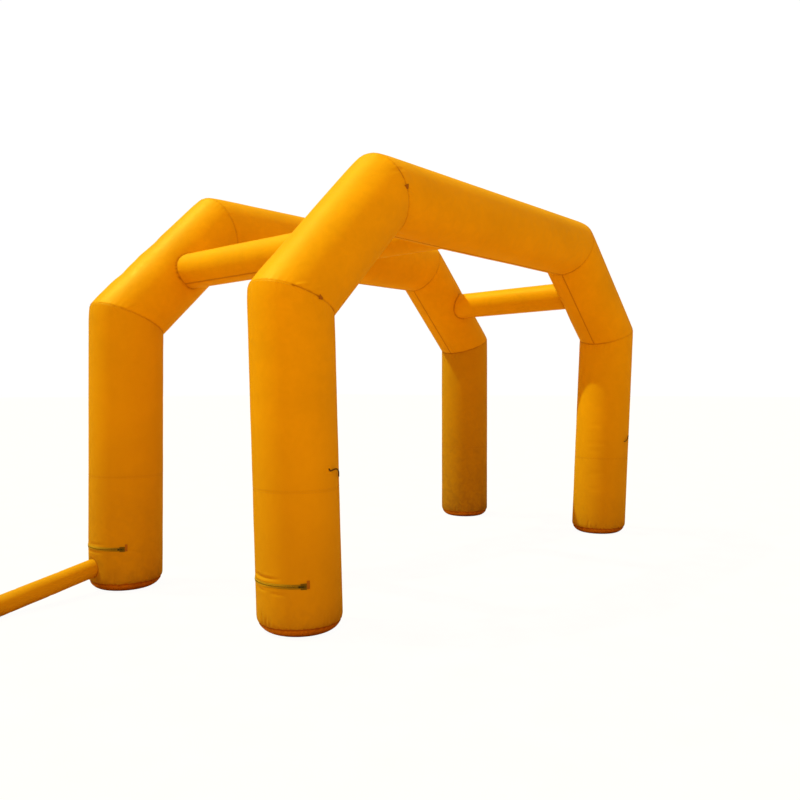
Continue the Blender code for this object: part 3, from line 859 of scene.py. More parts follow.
def woven_material(name, colour, dark, roughness, pitch, depth):
    """Narrow woven goods, such as tape, webbing, thread or cord: threads in relief, with painted shade in
    the hollows between them, and painted light where an attribute asks for it.
    """
    material, shader, tree, place = new_material(name, roughness)
    height = woven_height(tree, pitch)
    fuzz = tree.noise(place, 900.0, 3.0)
    worn = tree.noise(place, 38.0, 5.0, 1.0)
    # Painted shade: the weave's hollows are painted dark, the tops of its threads in their own colour
    paint = tree.mix(tree.spread(height, 0.15, 0.75), rgba(dark), rgba(colour))
    paint = tree.mix(tree.spread(worn, 0.45, 0.75, 0.0, 0.35), paint, rgba(colour, 1.5))
    paint = tree.mix(tree.spread(fuzz, 0.35, 0.80, 0.0, 0.20), paint, rgba(dark))
    # Painted light: the tape is painted lighter where this attribute says the sun falls on it
    faded = tree.add("ShaderNodeAttribute", attribute_name="faded").node.outputs["Fac"]
    paint = tree.mix(faded, paint, rgba(colour, 1.7))
    join(tree, paint, shader, "Base Color")
    join(tree, tree.spread(worn, 0.3, 0.7, roughness - 0.08, roughness + 0.08), shader, "Roughness")
    relief = tree.math("ADD", height, tree.math("MULTIPLY", fuzz, 0.35))
    bump = tree.add("ShaderNodeBump", {"Height": relief, "Strength": 0.6, "Distance": depth})
    join(tree, bump, shader, "Normal")
    shader.inputs["Sheen Weight"].default_value = 0.06
    shader.inputs["Sheen Roughness"].default_value = 0.45
    return material


def metal_material(name, colour):
    """Dark painted metal, rubbed bright on its high spots."""
    material, shader, tree, place = new_material(name, 0.38)
    rubbed = tree.noise(place, 320.0, 5.0, 0.7)
    paint = tree.mix(tree.spread(rubbed, 0.52, 0.66, 0.0, 0.6), rgba(colour), rgba(colour, 3.5))
    join(tree, paint, shader, "Base Color")
    join(tree, tree.spread(rubbed, 0.3, 0.7, 0.28, 0.50), shader, "Roughness")
    bump = tree.add("ShaderNodeBump", {"Height": rubbed, "Strength": 0.25, "Distance": 0.0002})
    join(tree, bump, shader, "Normal")
    shader.inputs["Metallic"].default_value = 0.7
    return material


class ArchClothSettings(bpy.types.PropertyGroup):
    """Colours of the arch's cloth and trim."""

    cloth_colour: FloatVectorProperty(
        name="Cloth",
        description="Colour of the coated cloth of the tubes",
        subtype="COLOR",
        size=3,
        min=0.0,
        max=1.0,
        default=(0.82, 0.375, 0.004),
    )
    base_colour: FloatVectorProperty(
        name="Base cloth",
        description="Colour of the heavy cloth under the legs",
        subtype="COLOR",
        size=3,
        min=0.0,
        max=1.0,
        default=(0.50, 0.145, 0.006),
    )
    # Colour that the seams are painted towards: dirt, and painted shade in their grooves
    seam_dirt_and_shade_colour: FloatVectorProperty(
        name="Seams",
        description="Colour in the depth of the seams",
        subtype="COLOR",
        size=3,
        min=0.0,
        max=1.0,
        default=(0.33, 0.066, 0.003),
    )
    # The cloth is painted towards this colour: darker towards the floor, dust, and painted shade on the rear
    # legs, under the base panels and inside the sleeve's mouth
    dust_and_shade_colour: FloatVectorProperty(
        name="Soil",
        description="Colour of the dust on the lower legs and the sleeve",
        subtype="COLOR",
        size=3,
        min=0.0,
        max=1.0,
        default=(0.30, 0.13, 0.030),
    )
    thread_colour: FloatVectorProperty(
        name="Thread",
        description="Colour of the sewing thread",
        subtype="COLOR",
        size=3,
        min=0.0,
        max=1.0,
        default=(0.74, 0.27, 0.010),
    )
    tape_colour: FloatVectorProperty(
        name="Zip tape",
        description="Colour of the zips' tape and end patches",
        subtype="COLOR",
        size=3,
        min=0.0,
        max=1.0,
        default=(0.34, 0.19, 0.007),
    )
    webbing_colour: FloatVectorProperty(
        name="Webbing",
        description="Colour of the bars beside the zips and of the seam tabs",
        subtype="COLOR",
        size=3,
        min=0.0,
        max=1.0,
        default=(0.36, 0.075, 0.003),
    )
    cord_colour: FloatVectorProperty(
        name="Cord",
        description="Colour of the tie cords",
        subtype="COLOR",
        size=3,
        min=0.0,
        max=1.0,
        default=(0.090, 0.022, 0.005),
    )


class ArchSewingSettings(bpy.types.PropertyGroup):
    """Sizes of the arch's sewing."""

    stitch_pitch: FloatProperty(
        name="Stitch pitch",
        description="Distance from one stitch to the next",
        unit="LENGTH",
        min=0.004,
        max=0.03,
        default=0.010,
    )
    stitch_length: FloatProperty(
        name="Stitch length",
        description="Length of the thread that shows in each stitch",
        unit="LENGTH",
        min=0.002,
        max=0.02,
        default=0.0068,
    )
    thread_radius: FloatProperty(
        name="Thread radius",
        description="Radius of the sewing thread",
        unit="LENGTH",
        min=0.0003,
        max=0.002,
        default=0.0009,
    )
    seam_margin: FloatProperty(
        name="Seam margin",
        description="Distance from a seam to the stitches beside it",
        unit="LENGTH",
        min=0.003,
        max=0.03,
        default=0.009,
    )
    gather_depth: FloatProperty(
        name="Gather depth",
        description="Depth of the small gathers along the mitre seams",
        unit="LENGTH",
        min=0.0,
        max=0.01,
        default=0.0017,
    )
    seed: IntProperty(
        name="Seed",
        description="Picks where the gathers lie and how the stitches vary",
        min=0,
        default=7,
    )


class ArchZipSettings(bpy.types.PropertyGroup):
    """Sizes of the zips' teeth."""

    tooth_pitch: FloatProperty(
        name="Tooth pitch",
        description="Distance from one tooth of a zip to the next",
        unit="LENGTH",
        min=0.0015,
        max=0.006,
        default=0.0025,
    )
    tooth_length: FloatProperty(
        name="Tooth length",
        description="Length of each tooth, across the zip",
        unit="LENGTH",
        min=0.002,
        max=0.010,
        default=0.0058,
    )
    tooth_radius: FloatProperty(
        name="Tooth radius",
        description="Radius of each tooth's coil wire",
        unit="LENGTH",
        min=0.0004,
        max=0.002,
        default=0.0010,
    )


class ArchStageSettings(bpy.types.PropertyGroup):
    """Light and floor."""

    sun_elevation: FloatProperty(
        name="Sun elevation",
        description="Height of the main light above the floor's plane",
        unit="ROTATION",
        min=0.1,
        max=1.57,
        default=math.radians(60.0),
    )
    sun_bearing: FloatProperty(
        name="Sun bearing",
        description="Direction of the main light round the arch, from its right side towards its rear",
        unit="ROTATION",
        min=-math.pi,
        max=math.pi,
        default=math.radians(124.0),
    )
    sun_strength: FloatProperty(
        name="Sun strength",
        description="Strength of the main light",
        min=0.0,
        max=20.0,
        default=3.1,
    )
    overhead_colour: FloatVectorProperty(
        name="Overhead light",
        description="Colour and strength of the soft light from straight above",
        subtype="COLOR",
        size=3,
        min=0.0,
        max=3.0,
        default=(1.02, 0.66, 0.10),
    )
    level_colour: FloatVectorProperty(
        name="Level light",
        description="Colour and strength of the soft light from all round, near the floor",
        subtype="COLOR",
        size=3,
        min=0.0,
        max=3.0,
        default=(0.21, 0.25, 0.05),
    )
    front_colour: FloatVectorProperty(
        name="Front light",
        description="Colour of the large soft light beside the camera",
        subtype="COLOR",
        size=3,
        min=0.0,
        max=1.0,
        default=(1.0, 0.62, 0.14),
    )
    front_power: FloatProperty(
        name="Front light power",
        description="Power of the large soft light beside the camera, in watts",
        min=0.0,
        max=5000.0,
        default=310.0,
    )
    bounce_colour: FloatVectorProperty(
        name="Floor bounce",
        description="Colour of the light that the floor throws back up",
        subtype="COLOR",
        size=3,
        min=0.0,
        max=1.0,
        default=(0.64, 0.42, 0.20),
    )
    floor_colour: FloatVectorProperty(
        name="Floor",
        description="Colour of the pale floor",
        subtype="COLOR",
        size=3,
        min=0.0,
        max=1.0,
        default=(0.97, 0.97, 0.96),
    )


def leg_steps(ring_height, has_zip):
    """Row steps from the base seam up a leg: closer together at its foot, its zip and its ring."""
    ring = ring_height - BASE_SEAM_HEIGHT
    steps = list(FOOT_ROWS)
    if has_zip:
        steps += ZIP_ROWS
    steps += [(0.430, LEG_STEP), (ring - 0.050, LEG_STEP)]
    steps += [(ring - RING_FINE_REACH, RING_FINE_STEP), (ring + RING_FINE_REACH, RING_FINE_STEP)]
    return tuple(steps + [(ring + 0.060, LEG_STEP)])


def sewn_tubes(sewing):
    """Every sewn tube, by name, with its seams, gathers, rings, creases and what is sewn to its side."""
    tubes = {}
    for a, (arch, corners) in enumerate(ARCH_CORNERS.items()):
        names = [row[0] for row in corners]
        points = [to_part(row[1:]) for row in corners]
        lines = [Line(first, last, TUBE_R, FRONT) for first, last in zip(points, points[1:])]
        ends = []
        for i, corner in enumerate(names):
            seed = sewing.seed * 100 + a * 10 + i
            if corner.endswith("foot"):
                gathers = Gathers(seed, 58, 0.0034, 0.0090, 0.055)
                # The base seam is painted dark all round: dirt, and painted shade in its groove
                shades, edge = ((-180.0, 0.95), (180.0, 0.95)), Ragged(seed, 150, 0.0025, 0.0125)
                floor_seam = np.array((0.0, 0.0, BASE_SEAM_HEIGHT))
                ends.append(PlaneEnd(floor_seam, UP, 0.0, gathers, shades, edge))
            else:
                normal = unit(lines[i - 1].along + lines[i].along)
                gathers = Gathers(seed, 47, sewing.gather_depth, 0.0115, 0.060, 1.3)
                draw = CORNER_DRAW[corner.split("_")[1]]
                shades, edge = SEAM_SHADES[(arch, corner)], Ragged(seed, 90, 0.0040, 0.0075)
                ends.append(PlaneEnd(points[i], normal, draw, gathers, shades, edge))
        for i, piece in enumerate(PIECES):
            tube = ClothTube(f"{arch}_{piece}", lines[i], ends[i], ends[i + 1], sewing.seed + 31 * a + 7 * i)
            tube.creases = CREASES[(arch, piece)]
            tube.long_seams = (-0.5 * math.pi,) if piece.endswith("leg") else (math.pi,)
            if piece.endswith("leg"):
                tube.foot = True
                ring = LEG_RINGS[(arch, piece)]
                tube.rings = ((ring, Gathers(tube.seed, 40, 0.0009, 0.010, 0.030)),)
                foot_first = piece == "left_leg"
                tube.steps[0 if foot_first else 1] = leg_steps(ring, foot_first)
                if foot_first:
                    tube.calm.append((ZIP_FROM, ZIP_TO + 0.22, ZIP_HEIGHT, 0.030))
            tubes[tube.name] = tube
    for leg, (angle, height, route) in TIES.items():
        middle = math.radians(angle)
        tubes[leg + "_leg"].calm.append((middle - 0.3, middle + 0.4, height, 0.05))
    for b, (name, (piece, share, seam)) in enumerate(CROSS_TUBES.items()):
        front, rear = tubes["front_" + piece], tubes["rear_" + piece]
        middles = [tube.line.start + share * tube.line.length * tube.line.along for tube in (front, rear)]
        line = Line(*middles, CROSS_R, UP)
        gathers = [Gathers(sewing.seed + 900 + 2 * b + k, 27, 0.0016, 0.0085, 0.038) for k in (0, 1)]
        joins = zip((front, rear), (1, -1), gathers)
        ends = [SaddleEnd(tube.line, 0.008, side, own) for tube, side, own in joins]
        cross = ClothTube(name, line, *ends, sewing.seed + 60 + b)
        cross.long_seams = (math.radians(seam),)
        cross.uneven = 0.0010
        tubes[name] = cross
        front.branches.append(Branch(line, 1, gathers[0]))
        rear.branches.append(Branch(line, -1, gathers[1]))
    sleeve = sleeve_line()
    joint = Gathers(sewing.seed + 950, 15, 0.0014, 0.0075, 0.025)
    tubes["rear_left_leg"].branches.append(Branch(sleeve, 1, joint))
    return tubes


def sleeve_line():
    """The air sleeve's straight axis, from inside the leg."""
    start, end = to_part(SLEEVE_ON_LEG), to_part(SLEEVE_ON_FLOOR)
    fall = unit(end - start)
    return Line(start + SLEEVE_ROOT * fall, start + SLEEVE_LENGTH * fall, SLEEVE_R, UP)


def cloth_object(name, points, seam, soil, u, v):
    """The object of one piece of cloth, on the body and in place of its node."""
    uv = np.stack(np.broadcast_arrays(u, v), axis=-1)
    mesh = build_mesh(name, points, uv, {"seam": seam, "soil": soil})
    return finished(name + "_cloth", mesh, name)


def finished(name, mesh, node, material=None):
    obj = bpy.data.objects.new(name, mesh)
    bpy.context.scene.collection.objects.link(obj)
    if material:
        mesh.materials.append(material)
    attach(obj, BODY)
    if node:
        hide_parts(node)
    return obj


def floor_darkening_at(points):
    """How much darker the cloth is painted: much darker by the floor, and slightly darker from there up to
    the shoulders.
    """
    height = points[..., 2]
    return 0.60 * np.exp(-height / 0.11) + 0.42 * np.exp(-((height / 1.3) ** 2))


def tube_object(tube, columns, material):
    angle = tube.angles(columns)
    distance = tube.rows(angle)
    points, seam = tube.surface(angle[None, :], distance)
    # Darker towards the floor, plus painted shade on the rear legs that the table above lists
    soil = np.clip(floor_darkening_at(points) + LEG_PAINTED_SHADE.get(tube.name, 0.0), 0.0, 1.0)
    obj = cloth_object(tube.name, points, seam, soil, angle[None, :] * tube.line.radius, distance)
    obj.data.materials.append(material)
    return obj


def base_points(leg, gathers, edge):
    """A base panel: a flat underside, then puckered up to the seam with the leg."""
    angle = leg.angles(COLUMNS)
    last_turn = math.acos(1.0 - (BASE_SEAM_HEIGHT - 0.5 * SEAM_GAP) / FOOT_TURN_HEIGHT)
    rows, seam = [], []
    for flat_radius in (0.06, 0.12, 0.165):
        rows.append(leg.line.at_height(angle, flat_radius, 0.0))
        seam.append(0.0 * angle)
    for turn in np.linspace(0.0, last_turn, 20):
        radius = FOOT_FLAT_R + (leg.line.radius - FOOT_FLAT_R) * math.sin(turn)
        height = FOOT_TURN_HEIGHT * (1.0 - math.cos(turn))
        below = np.full(angle.shape, BASE_SEAM_HEIGHT - height)
        full = math.sin(turn) / math.sin(last_turn)
        offset = full * gathers.offset(angle, 1.4 * below, leg.line.radius)
        offset -= 0.0045 * np.exp(-((below / 0.008) ** 2))
        rows.append(leg.line.at_height(angle, radius + offset, height))
        # Painted dark at the base seam: dirt, and painted shade in its groove
        seam.append(0.95 * np.exp(-((below / edge.width(angle)) ** 2)))
    return angle, np.array(rows), np.array(seam)


def sleeve_points(leg):
    """The air sleeve's cloth: a hemmed, open mouth on the floor, with what shows of its inner side."""
    line = sleeve_line()
    angle = np.linspace(-math.pi, math.pi, 72, endpoint=False)
    joint = SaddleEnd(leg.line, 0.008, 1, None).reach(line, angle, SLEEVE_R) + SLEEVE_ROOT
    stretches = (
        np.linspace(0.0, 0.10, 12)[:-1],
        np.linspace(0.10, 0.94, 64)[:-1],
        np.linspace(0.94, 1.0, 16),
    )
    share = np.concatenate(stretches)
    outer = joint + share[:, None] * (SLEEVE_LENGTH - 0.004 - joint)
    rim = np.full((4, angle.size), SLEEVE_LENGTH) - np.array((0.0015, 0.0, 0.0, 0.0015))[:, None]
    inner = SLEEVE_LENGTH - np.linspace(0.004, 0.16, 12)[:, None] + 0.0 * angle
    distance = np.concatenate((outer, rim, inner))
    round_rim = (0.0004, 0.0012, 0.0022, 0.0030)
    shrink = np.concatenate((np.zeros(len(outer)), round_rim, np.full(12, 0.0034)))[:, None]
    start, fall = to_part(SLEEVE_ON_LEG), line.along
    centre = start + distance[..., None] * fall
    above = centre[..., 2] - SLEEVE_R
    centre[..., 2] = SLEEVE_R + 0.5 * (above + np.hypot(above, SLEEVE_SETTLE) - SLEEVE_SETTLE)
    near = distance - joint
    gathers = Gathers(5, 15, 0.0016, 0.0075, 0.040)
    offset = gathers.offset(angle + 0.0 * distance, np.maximum(near, 0.0), SLEEVE_R)
    offset -= 0.0028 * np.exp(-((near / 0.006) ** 2))
    offset += unevenness(12, angle, distance, 0.0022)
    for where, lean, depth, width in SLEEVE_FOLDS:
        away = distance - where - 0.04 * np.sin(angle + lean)
        strength = 0.55 + 0.45 * np.cos(angle - 4.0 * lean)
        offset -= depth * np.exp(-((away / width) ** 2)) * strength
    hem = np.clip((distance - (SLEEVE_LENGTH - 0.032)) / 0.003, 0.0, 1.0)
    offset = offset * (1.0 - 0.6 * hem) + 0.0010 * hem
    side = unit(np.cross(fall, UP))
    lift = np.cross(side, fall)
    radial = np.cos(angle)[:, None] * side + np.sin(angle)[:, None] * lift
    points = centre + (SLEEVE_R + offset - shrink)[..., None] * radial
    points[..., 2] = np.maximum(points[..., 2], 0.0)
    past_hem = distance - SLEEVE_LENGTH + 0.033
    # Painted dark at the joint with the leg and along the hem: dirt, and painted shade in their grooves
    seam = np.exp(-((near / 0.007) ** 2)) + 0.45 * np.exp(-((past_hem / 0.002) ** 2))
    # Painted shade inside the sleeve's mouth, darker deeper in
    inside = np.zeros(distance.shape)
    inside[-12:] = np.linspace(0.45, 1.0, 12)[:, None]
    return angle, distance, points, np.clip(seam, 0.0, 1.0), inside


def strip_mesh(name, leg, angles, section, taper=1.0, faded=0.0):
    """A strip that lies round a leg. Its section is (height, stand-off) points; taper scales heights about
    the middle at each angle.
    """
    heights, offs = np.array(section).T
    middle = 0.5 * (heights.min() + heights.max())
    level = middle + np.reshape(taper, (-1, 1)) * (heights - middle)
    ring_angle = np.repeat(np.asarray(angles)[:, None], len(section), axis=1)
    points = leg.at_height(ring_angle, level, offs[None, :])
    round_section = np.concatenate(((0.0,), np.cumsum(np.hypot(np.diff(heights), np.diff(offs)))))
    uv = np.stack(np.broadcast_arrays(ring_angle * leg.line.radius, round_section), axis=-1)
    return build_mesh(name, points, uv, {"faded": faded})


def slab(height, half_height, low, high, crown=0.0, steps=9):
    """A strip's closed section with soft upper edges and a slight crown."""
    edge = 0.35 * (high - low)
    across = np.linspace(1.0, -1.0, steps)
    top = [(height + half * (half_height - edge), high + crown * (1.0 - half * half)) for half in across]
    sides = [(height - half_height, high - edge), (height - half_height, low)]
    return [(height + half_height, low), (height + half_height, high - edge), *top, *sides]


def zip_section():
    """The zip's tape, with the raised bed that its teeth lie on."""
    half = [
        (0.0155, 0.0007),
        (0.0155, 0.0014),
        (0.0150, 0.0018),
        (0.0085, 0.0018),
        (0.0062, 0.0022),
        (0.0040, 0.0028),
    ]
    upper = [(ZIP_HEIGHT + height, off) for height, off in half]
    return upper + [(2.0 * ZIP_HEIGHT - height, off) for height, off in reversed(upper)]


def slider_meshes(leg):
    """The slider's body, with its bridge, and its pull tab with a hole."""
    body_from = ZIP_TO - 0.014 / TUBE_R
    body_angles = np.linspace(body_from, ZIP_TO, 9)
    share = np.linspace(0.0, 1.0, 9)
    taper = 0.72 + 0.28 * np.sin(np.pi * (0.18 + 0.64 * share))
    body_section = slab(ZIP_HEIGHT, 0.0065, 0.0046, 0.0082, 0.0008)
    body = strip_mesh("slider_body", leg, body_angles, body_section, taper)
    bridge_angles = np.linspace(body_from + 0.003 / TUBE_R, ZIP_TO - 0.001 / TUBE_R, 9)
    bridge_points = []
    for angle, rise in zip(bridge_angles, np.sin(np.pi * np.linspace(0.0, 1.0, 9))):
        turn = np.linspace(0.0, math.tau, 8, endpoint=False)
        heights = ZIP_HEIGHT + 0.0019 * np.cos(turn)
        stand_off = 0.0080 + 0.0016 * rise + 0.0007 * np.sin(turn)
        bridge_points.append(leg.at_height(np.full(8, angle), heights, stand_off))
    bridge_points = np.array(bridge_points)
    bridge = build_mesh("slider_bridge", bridge_points, np.zeros((9, 8, 2)), {})
    turn = np.linspace(0.0, math.tau, 40, endpoint=False)
    outer_across = 0.0042 * np.sign(np.sin(turn)) * np.abs(np.sin(turn)) ** 0.45
    outer = np.stack((0.0170 + 0.0170 * np.cos(turn), outer_across))
    hole = np.stack((0.0265 + 0.0042 * np.cos(turn), 0.0022 * np.sin(turn)))
    rings = []
    for outline, off in ((hole, 0.0068), (outer, 0.0068), (outer, 0.0086), (hole, 0.0086)):
        rings.append(leg.at_height(ZIP_TO + outline[0] / TUBE_R, ZIP_HEIGHT + outline[1], off))
    pull = bmesh.new()
    loops = [[pull.verts.new(point) for point in ring] for ring in rings]
    for loop, following in zip(loops, loops[1:] + loops[:1]):
        for i in range(len(loop)):
            j = (i + 1) % len(loop)
            pull.faces.new((loop[i], loop[j], following[j], following[i]))
    bmesh.ops.recalc_face_normals(pull, faces=pull.faces)
    tab = bpy.data.meshes.new("slider_pull")
    pull.to_mesh(tab)
    pull.free()
    return [body, bridge, tab]


def join_meshes(name, meshes):
    """One mesh of several."""
    whole = bmesh.new()
    for mesh in meshes:
        whole.from_mesh(mesh)
    joined = bpy.data.meshes.new(name)
    whole.to_mesh(joined)
    whole.free()
    return joined


def smooth_route(points, per_span):
    """Points along a Catmull-Rom curve through the given ones."""
    ends = [2 * points[0] - points[1], *points, 2 * points[-1] - points[-2]]
    route = []
    for a, b, c, d in zip(ends, ends[1:], ends[2:], ends[3:]):
        for t in np.arange(per_span) / per_span:
            bend = (2 * a - 5 * b + 4 * c - d) * t * t + (3 * b - a - 3 * c + d) * t**3
            route.append(0.5 * (2 * b + (c - a) * t + bend))
    return np.array(route + [points[-1]])


def cord_mesh(name, route):
    """A cord of three twisted strands along a route."""
    fine = smooth_route(list(route), 5)
    tangent = np.gradient(fine, axis=0)
    tangent /= np.linalg.norm(tangent, axis=1)[:, None]
    normal = np.cross(tangent, UP)
    normal /= np.linalg.norm(normal, axis=1)[:, None]
    second = np.cross(tangent, normal)
    run = np.concatenate(((0.0,), np.cumsum(np.linalg.norm(np.diff(fine, axis=0), axis=1))))
    strand_r = CORD_R / 2.155
    ring = np.linspace(0.0, math.tau, 10, endpoint=False)
    strands = []
    for k in range(3):
        twist = run * math.tau / 0.028 + k * math.tau / 3.0
        axis = fine + 1.155 * strand_r * (np.cos(twist)[:, None] * normal + np.sin(twist)[:, None] * second)
        taper = np.clip(np.minimum(run, run[-1] - run) / 0.002, 0.35, 1.0)
        radius = strand_r * np.sqrt(1.0 - (1.0 - taper) ** 2)
        spokes = np.cos(ring)[None, :, None] * normal[:, None]
        spokes = spokes + np.sin(ring)[None, :, None] * second[:, None]
        points = axis[:, None] + radius[:, None, None] * spokes
        uv = np.stack(np.broadcast_arrays(ring * strand_r + 0.3 * run[:, None], run[:, None]), axis=-1)
        strands.append(build_mesh(f"{name}_{k}", points, uv, {}))
    return join_meshes(name, strands), float(run[-1])


def stitch_tree(name):
    """Stitches along curves: one short capsule of thread at each step of the pitch."""
    group = bpy.data.node_groups.new(name, "GeometryNodeTree")
    face = group.interface
    face.new_socket(name="Geometry", in_out="INPUT", socket_type="NodeSocketGeometry")
    for label in ("Pitch", "Length", "Thread radius"):
        face.new_socket(name=label, in_out="INPUT", socket_type="NodeSocketFloat").subtype = "DISTANCE"
    face.new_socket(name="Seed", in_out="INPUT", socket_type="NodeSocketInt")
    face.new_socket(name="Material", in_out="INPUT", socket_type="NodeSocketMaterial")
    face.new_socket(name="Geometry", in_out="OUTPUT", socket_type="NodeSocketGeometry")
    tree = Tree(group)
    given = group.nodes.new("NodeGroupInput").outputs
    curve = tree.add("GeometryNodeMeshToCurve", {"Mesh": given["Geometry"]})
    inputs = {"Curve": curve, "Length": given["Pitch"]}
    curve = tree.add("GeometryNodeResampleCurve", inputs, mode="LENGTH")
    places = tree.add("GeometryNodeCurveToPoints", {"Curve": curve}, mode="EVALUATED")
    turn = live_socket(places.node.outputs, "Rotation")
    thread = tree.add("GeometryNodeMeshUVSphere", {"Segments": 5, "Rings": 3, "Radius": 1.0})
    vary = {"Min": 0.82, "Max": 1.12, "Seed": given["Seed"]}
    vary = tree.add("FunctionNodeRandomValue", vary, data_type="FLOAT")
    long = tree.math("MULTIPLY", tree.math("MULTIPLY", given["Length"], 0.5), vary)
    thick = given["Thread radius"]
    scale = tree.add("ShaderNodeCombineXYZ", {"X": thick, "Y": thick, "Z": long})
    inputs = {"Points": places, "Instance": thread, "Rotation": turn, "Scale": scale}
    return close_tree(tree, tree.add("GeometryNodeInstanceOnPoints", inputs), given["Material"])


def teeth_tree(name):
    """A zip's teeth along a curve: upright capsules, each side's tooth set towards its own tape."""
    group = bpy.data.node_groups.new(name, "GeometryNodeTree")
    face = group.interface
    face.new_socket(name="Geometry", in_out="INPUT", socket_type="NodeSocketGeometry")
    for label in ("Pitch", "Length", "Radius", "Side step"):
        face.new_socket(name=label, in_out="INPUT", socket_type="NodeSocketFloat").subtype = "DISTANCE"
    face.new_socket(name="Material", in_out="INPUT", socket_type="NodeSocketMaterial")
    face.new_socket(name="Geometry", in_out="OUTPUT", socket_type="NodeSocketGeometry")
    tree = Tree(group)
    given = group.nodes.new("NodeGroupInput").outputs
    curve = tree.add("GeometryNodeMeshToCurve", {"Mesh": given["Geometry"]})
    curve = tree.add("GeometryNodeResampleCurve", {"Curve": curve, "Length": given["Pitch"]}, mode="LENGTH")
    places = tree.add("GeometryNodeCurveToPoints", {"Curve": curve}, mode="EVALUATED")
    odd = tree.math("MODULO", tree.add("GeometryNodeInputIndex"), 2.0)
    aside = tree.math("MULTIPLY", tree.math("SUBTRACT", odd, 0.5), given["Side step"])
    offset = tree.add("ShaderNodeCombineXYZ", {"Z": aside})
    places = tree.add("GeometryNodeSetPosition", {"Geometry": places, "Offset": offset})
    tooth = tree.add("GeometryNodeMeshUVSphere", {"Segments": 6, "Rings": 4, "Radius": 1.0})
    half = tree.math("MULTIPLY", given["Length"], 0.5)
    scale = tree.add("ShaderNodeCombineXYZ", {"X": given["Radius"], "Y": given["Radius"], "Z": half})
    inputs = {"Points": places, "Instance": tooth, "Scale": scale}
    return close_tree(tree, tree.add("GeometryNodeInstanceOnPoints", inputs), given["Material"])


def close_tree(tree, instances, material):
    """Makes the instances real, smooth and of one material, as the tree's output."""
    real = tree.add("GeometryNodeRealizeInstances", {"Geometry": instances})
    smooth = tree.add("GeometryNodeSetShadeSmooth", {0: real})
    painted = tree.add("GeometryNodeSetMaterial", {"Geometry": smooth, "Material": material})
    end = tree.tree.nodes.new("NodeGroupOutput")
    tree.tree.links.new(painted, end.inputs[0])
    return tree.tree


def grown(name, paths, group, values):
    """A plain mesh of what a tree grows along paths. A path is its points and whether it closes."""
    points, edges = [], []
    for path, closes in paths:
        first, count = len(points), len(path)
        points += [tuple(point) for point in path]
        edges += [(first + i, first + i + 1) for i in range(count - 1)]
        if closes:
            edges.append((first + count - 1, first))
    guide = bpy.data.meshes.new(name)
    guide.from_pydata(points, edges, [])
    obj = bpy.data.objects.new(name, guide)
    bpy.context.scene.collection.objects.link(obj)
    modifier = obj.modifiers.new("grow", "NODES")
    modifier.node_group = group
    for item in group.interface.items_tree:
        if item.in_out == "INPUT" and item.name in values:
            modifier[item.identifier] = values[item.name]
    graph = bpy.context.evaluated_depsgraph_get()
    mesh = bpy.data.meshes.new_from_object(obj.evaluated_get(graph), depsgraph=graph)
    bpy.data.objects.remove(obj)
    if not mesh.polygons:
        raise RuntimeError(f"{name}: nothing grew along its paths")
    mesh.name = name
    return mesh


def coated_cloth(colours):
    return bpy.data.materials.get("coated cloth") or cloth_material(
        "coated cloth",
        tuple(colours.cloth_colour),
        colours.dust_and_shade_colour,
        colours.seam_dirt_and_shade_colour,
        roughness=0.50,
        weave=0.0012,
        ripple=0.010,
    )


def base_cloth(colours):
    return bpy.data.materials.get("heavy base cloth") or cloth_material(
        "heavy base cloth",
        tuple(colours.base_colour),
        # Colour that the base cloth is painted darker towards: dirt, and painted shade
        (0.22, 0.045, 0.010),
        tuple(0.75 * channel for channel in colours.seam_dirt_and_shade_colour),
        roughness=0.62,
        weave=0.0018,
        ripple=0.006,
    )


def sewing_thread(colours):
    dark = [0.55 * channel for channel in colours.thread_colour]
    return bpy.data.materials.get("sewing thread") or woven_material(
        "sewing thread", colours.thread_colour, dark, 0.6, 0.0005, 0.0001
    )


def zip_tape(colours):
    dark = [0.40 * channel for channel in colours.tape_colour]
    return bpy.data.materials.get("zip tape") or woven_material(
        "zip tape", colours.tape_colour, dark, 0.72, 0.0009, 0.0003
    )


def zip_patch(colours):
    shade, dark = ([share * channel for channel in colours.tape_colour] for share in (0.50, 0.22))
    return bpy.data.materials.get("zip end patch") or woven_material(
        "zip end patch", shade, dark, 0.72, 0.0009, 0.0003
    )


def webbing(colours):
    dark = [0.45 * channel for channel in colours.webbing_colour]
    return bpy.data.materials.get("webbing") or woven_material(
        "webbing", colours.webbing_colour, dark, 0.68, 0.0016, 0.0005
    )


def tie_cord(colours):
    dark = [0.40 * channel for channel in colours.cord_colour]
    return bpy.data.materials.get("tie cord") or woven_material(
        "tie cord", colours.cord_colour, dark, 0.75, 0.0009, 0.0002
    )


def zip_teeth(colours):
    dark = [0.12 * channel for channel in colours.tape_colour]
    return bpy.data.materials.get("zip teeth") or woven_material(
        "zip teeth", [0.36 * channel for channel in colours.tape_colour], dark, 0.42, 0.0006, 0.0001
    )


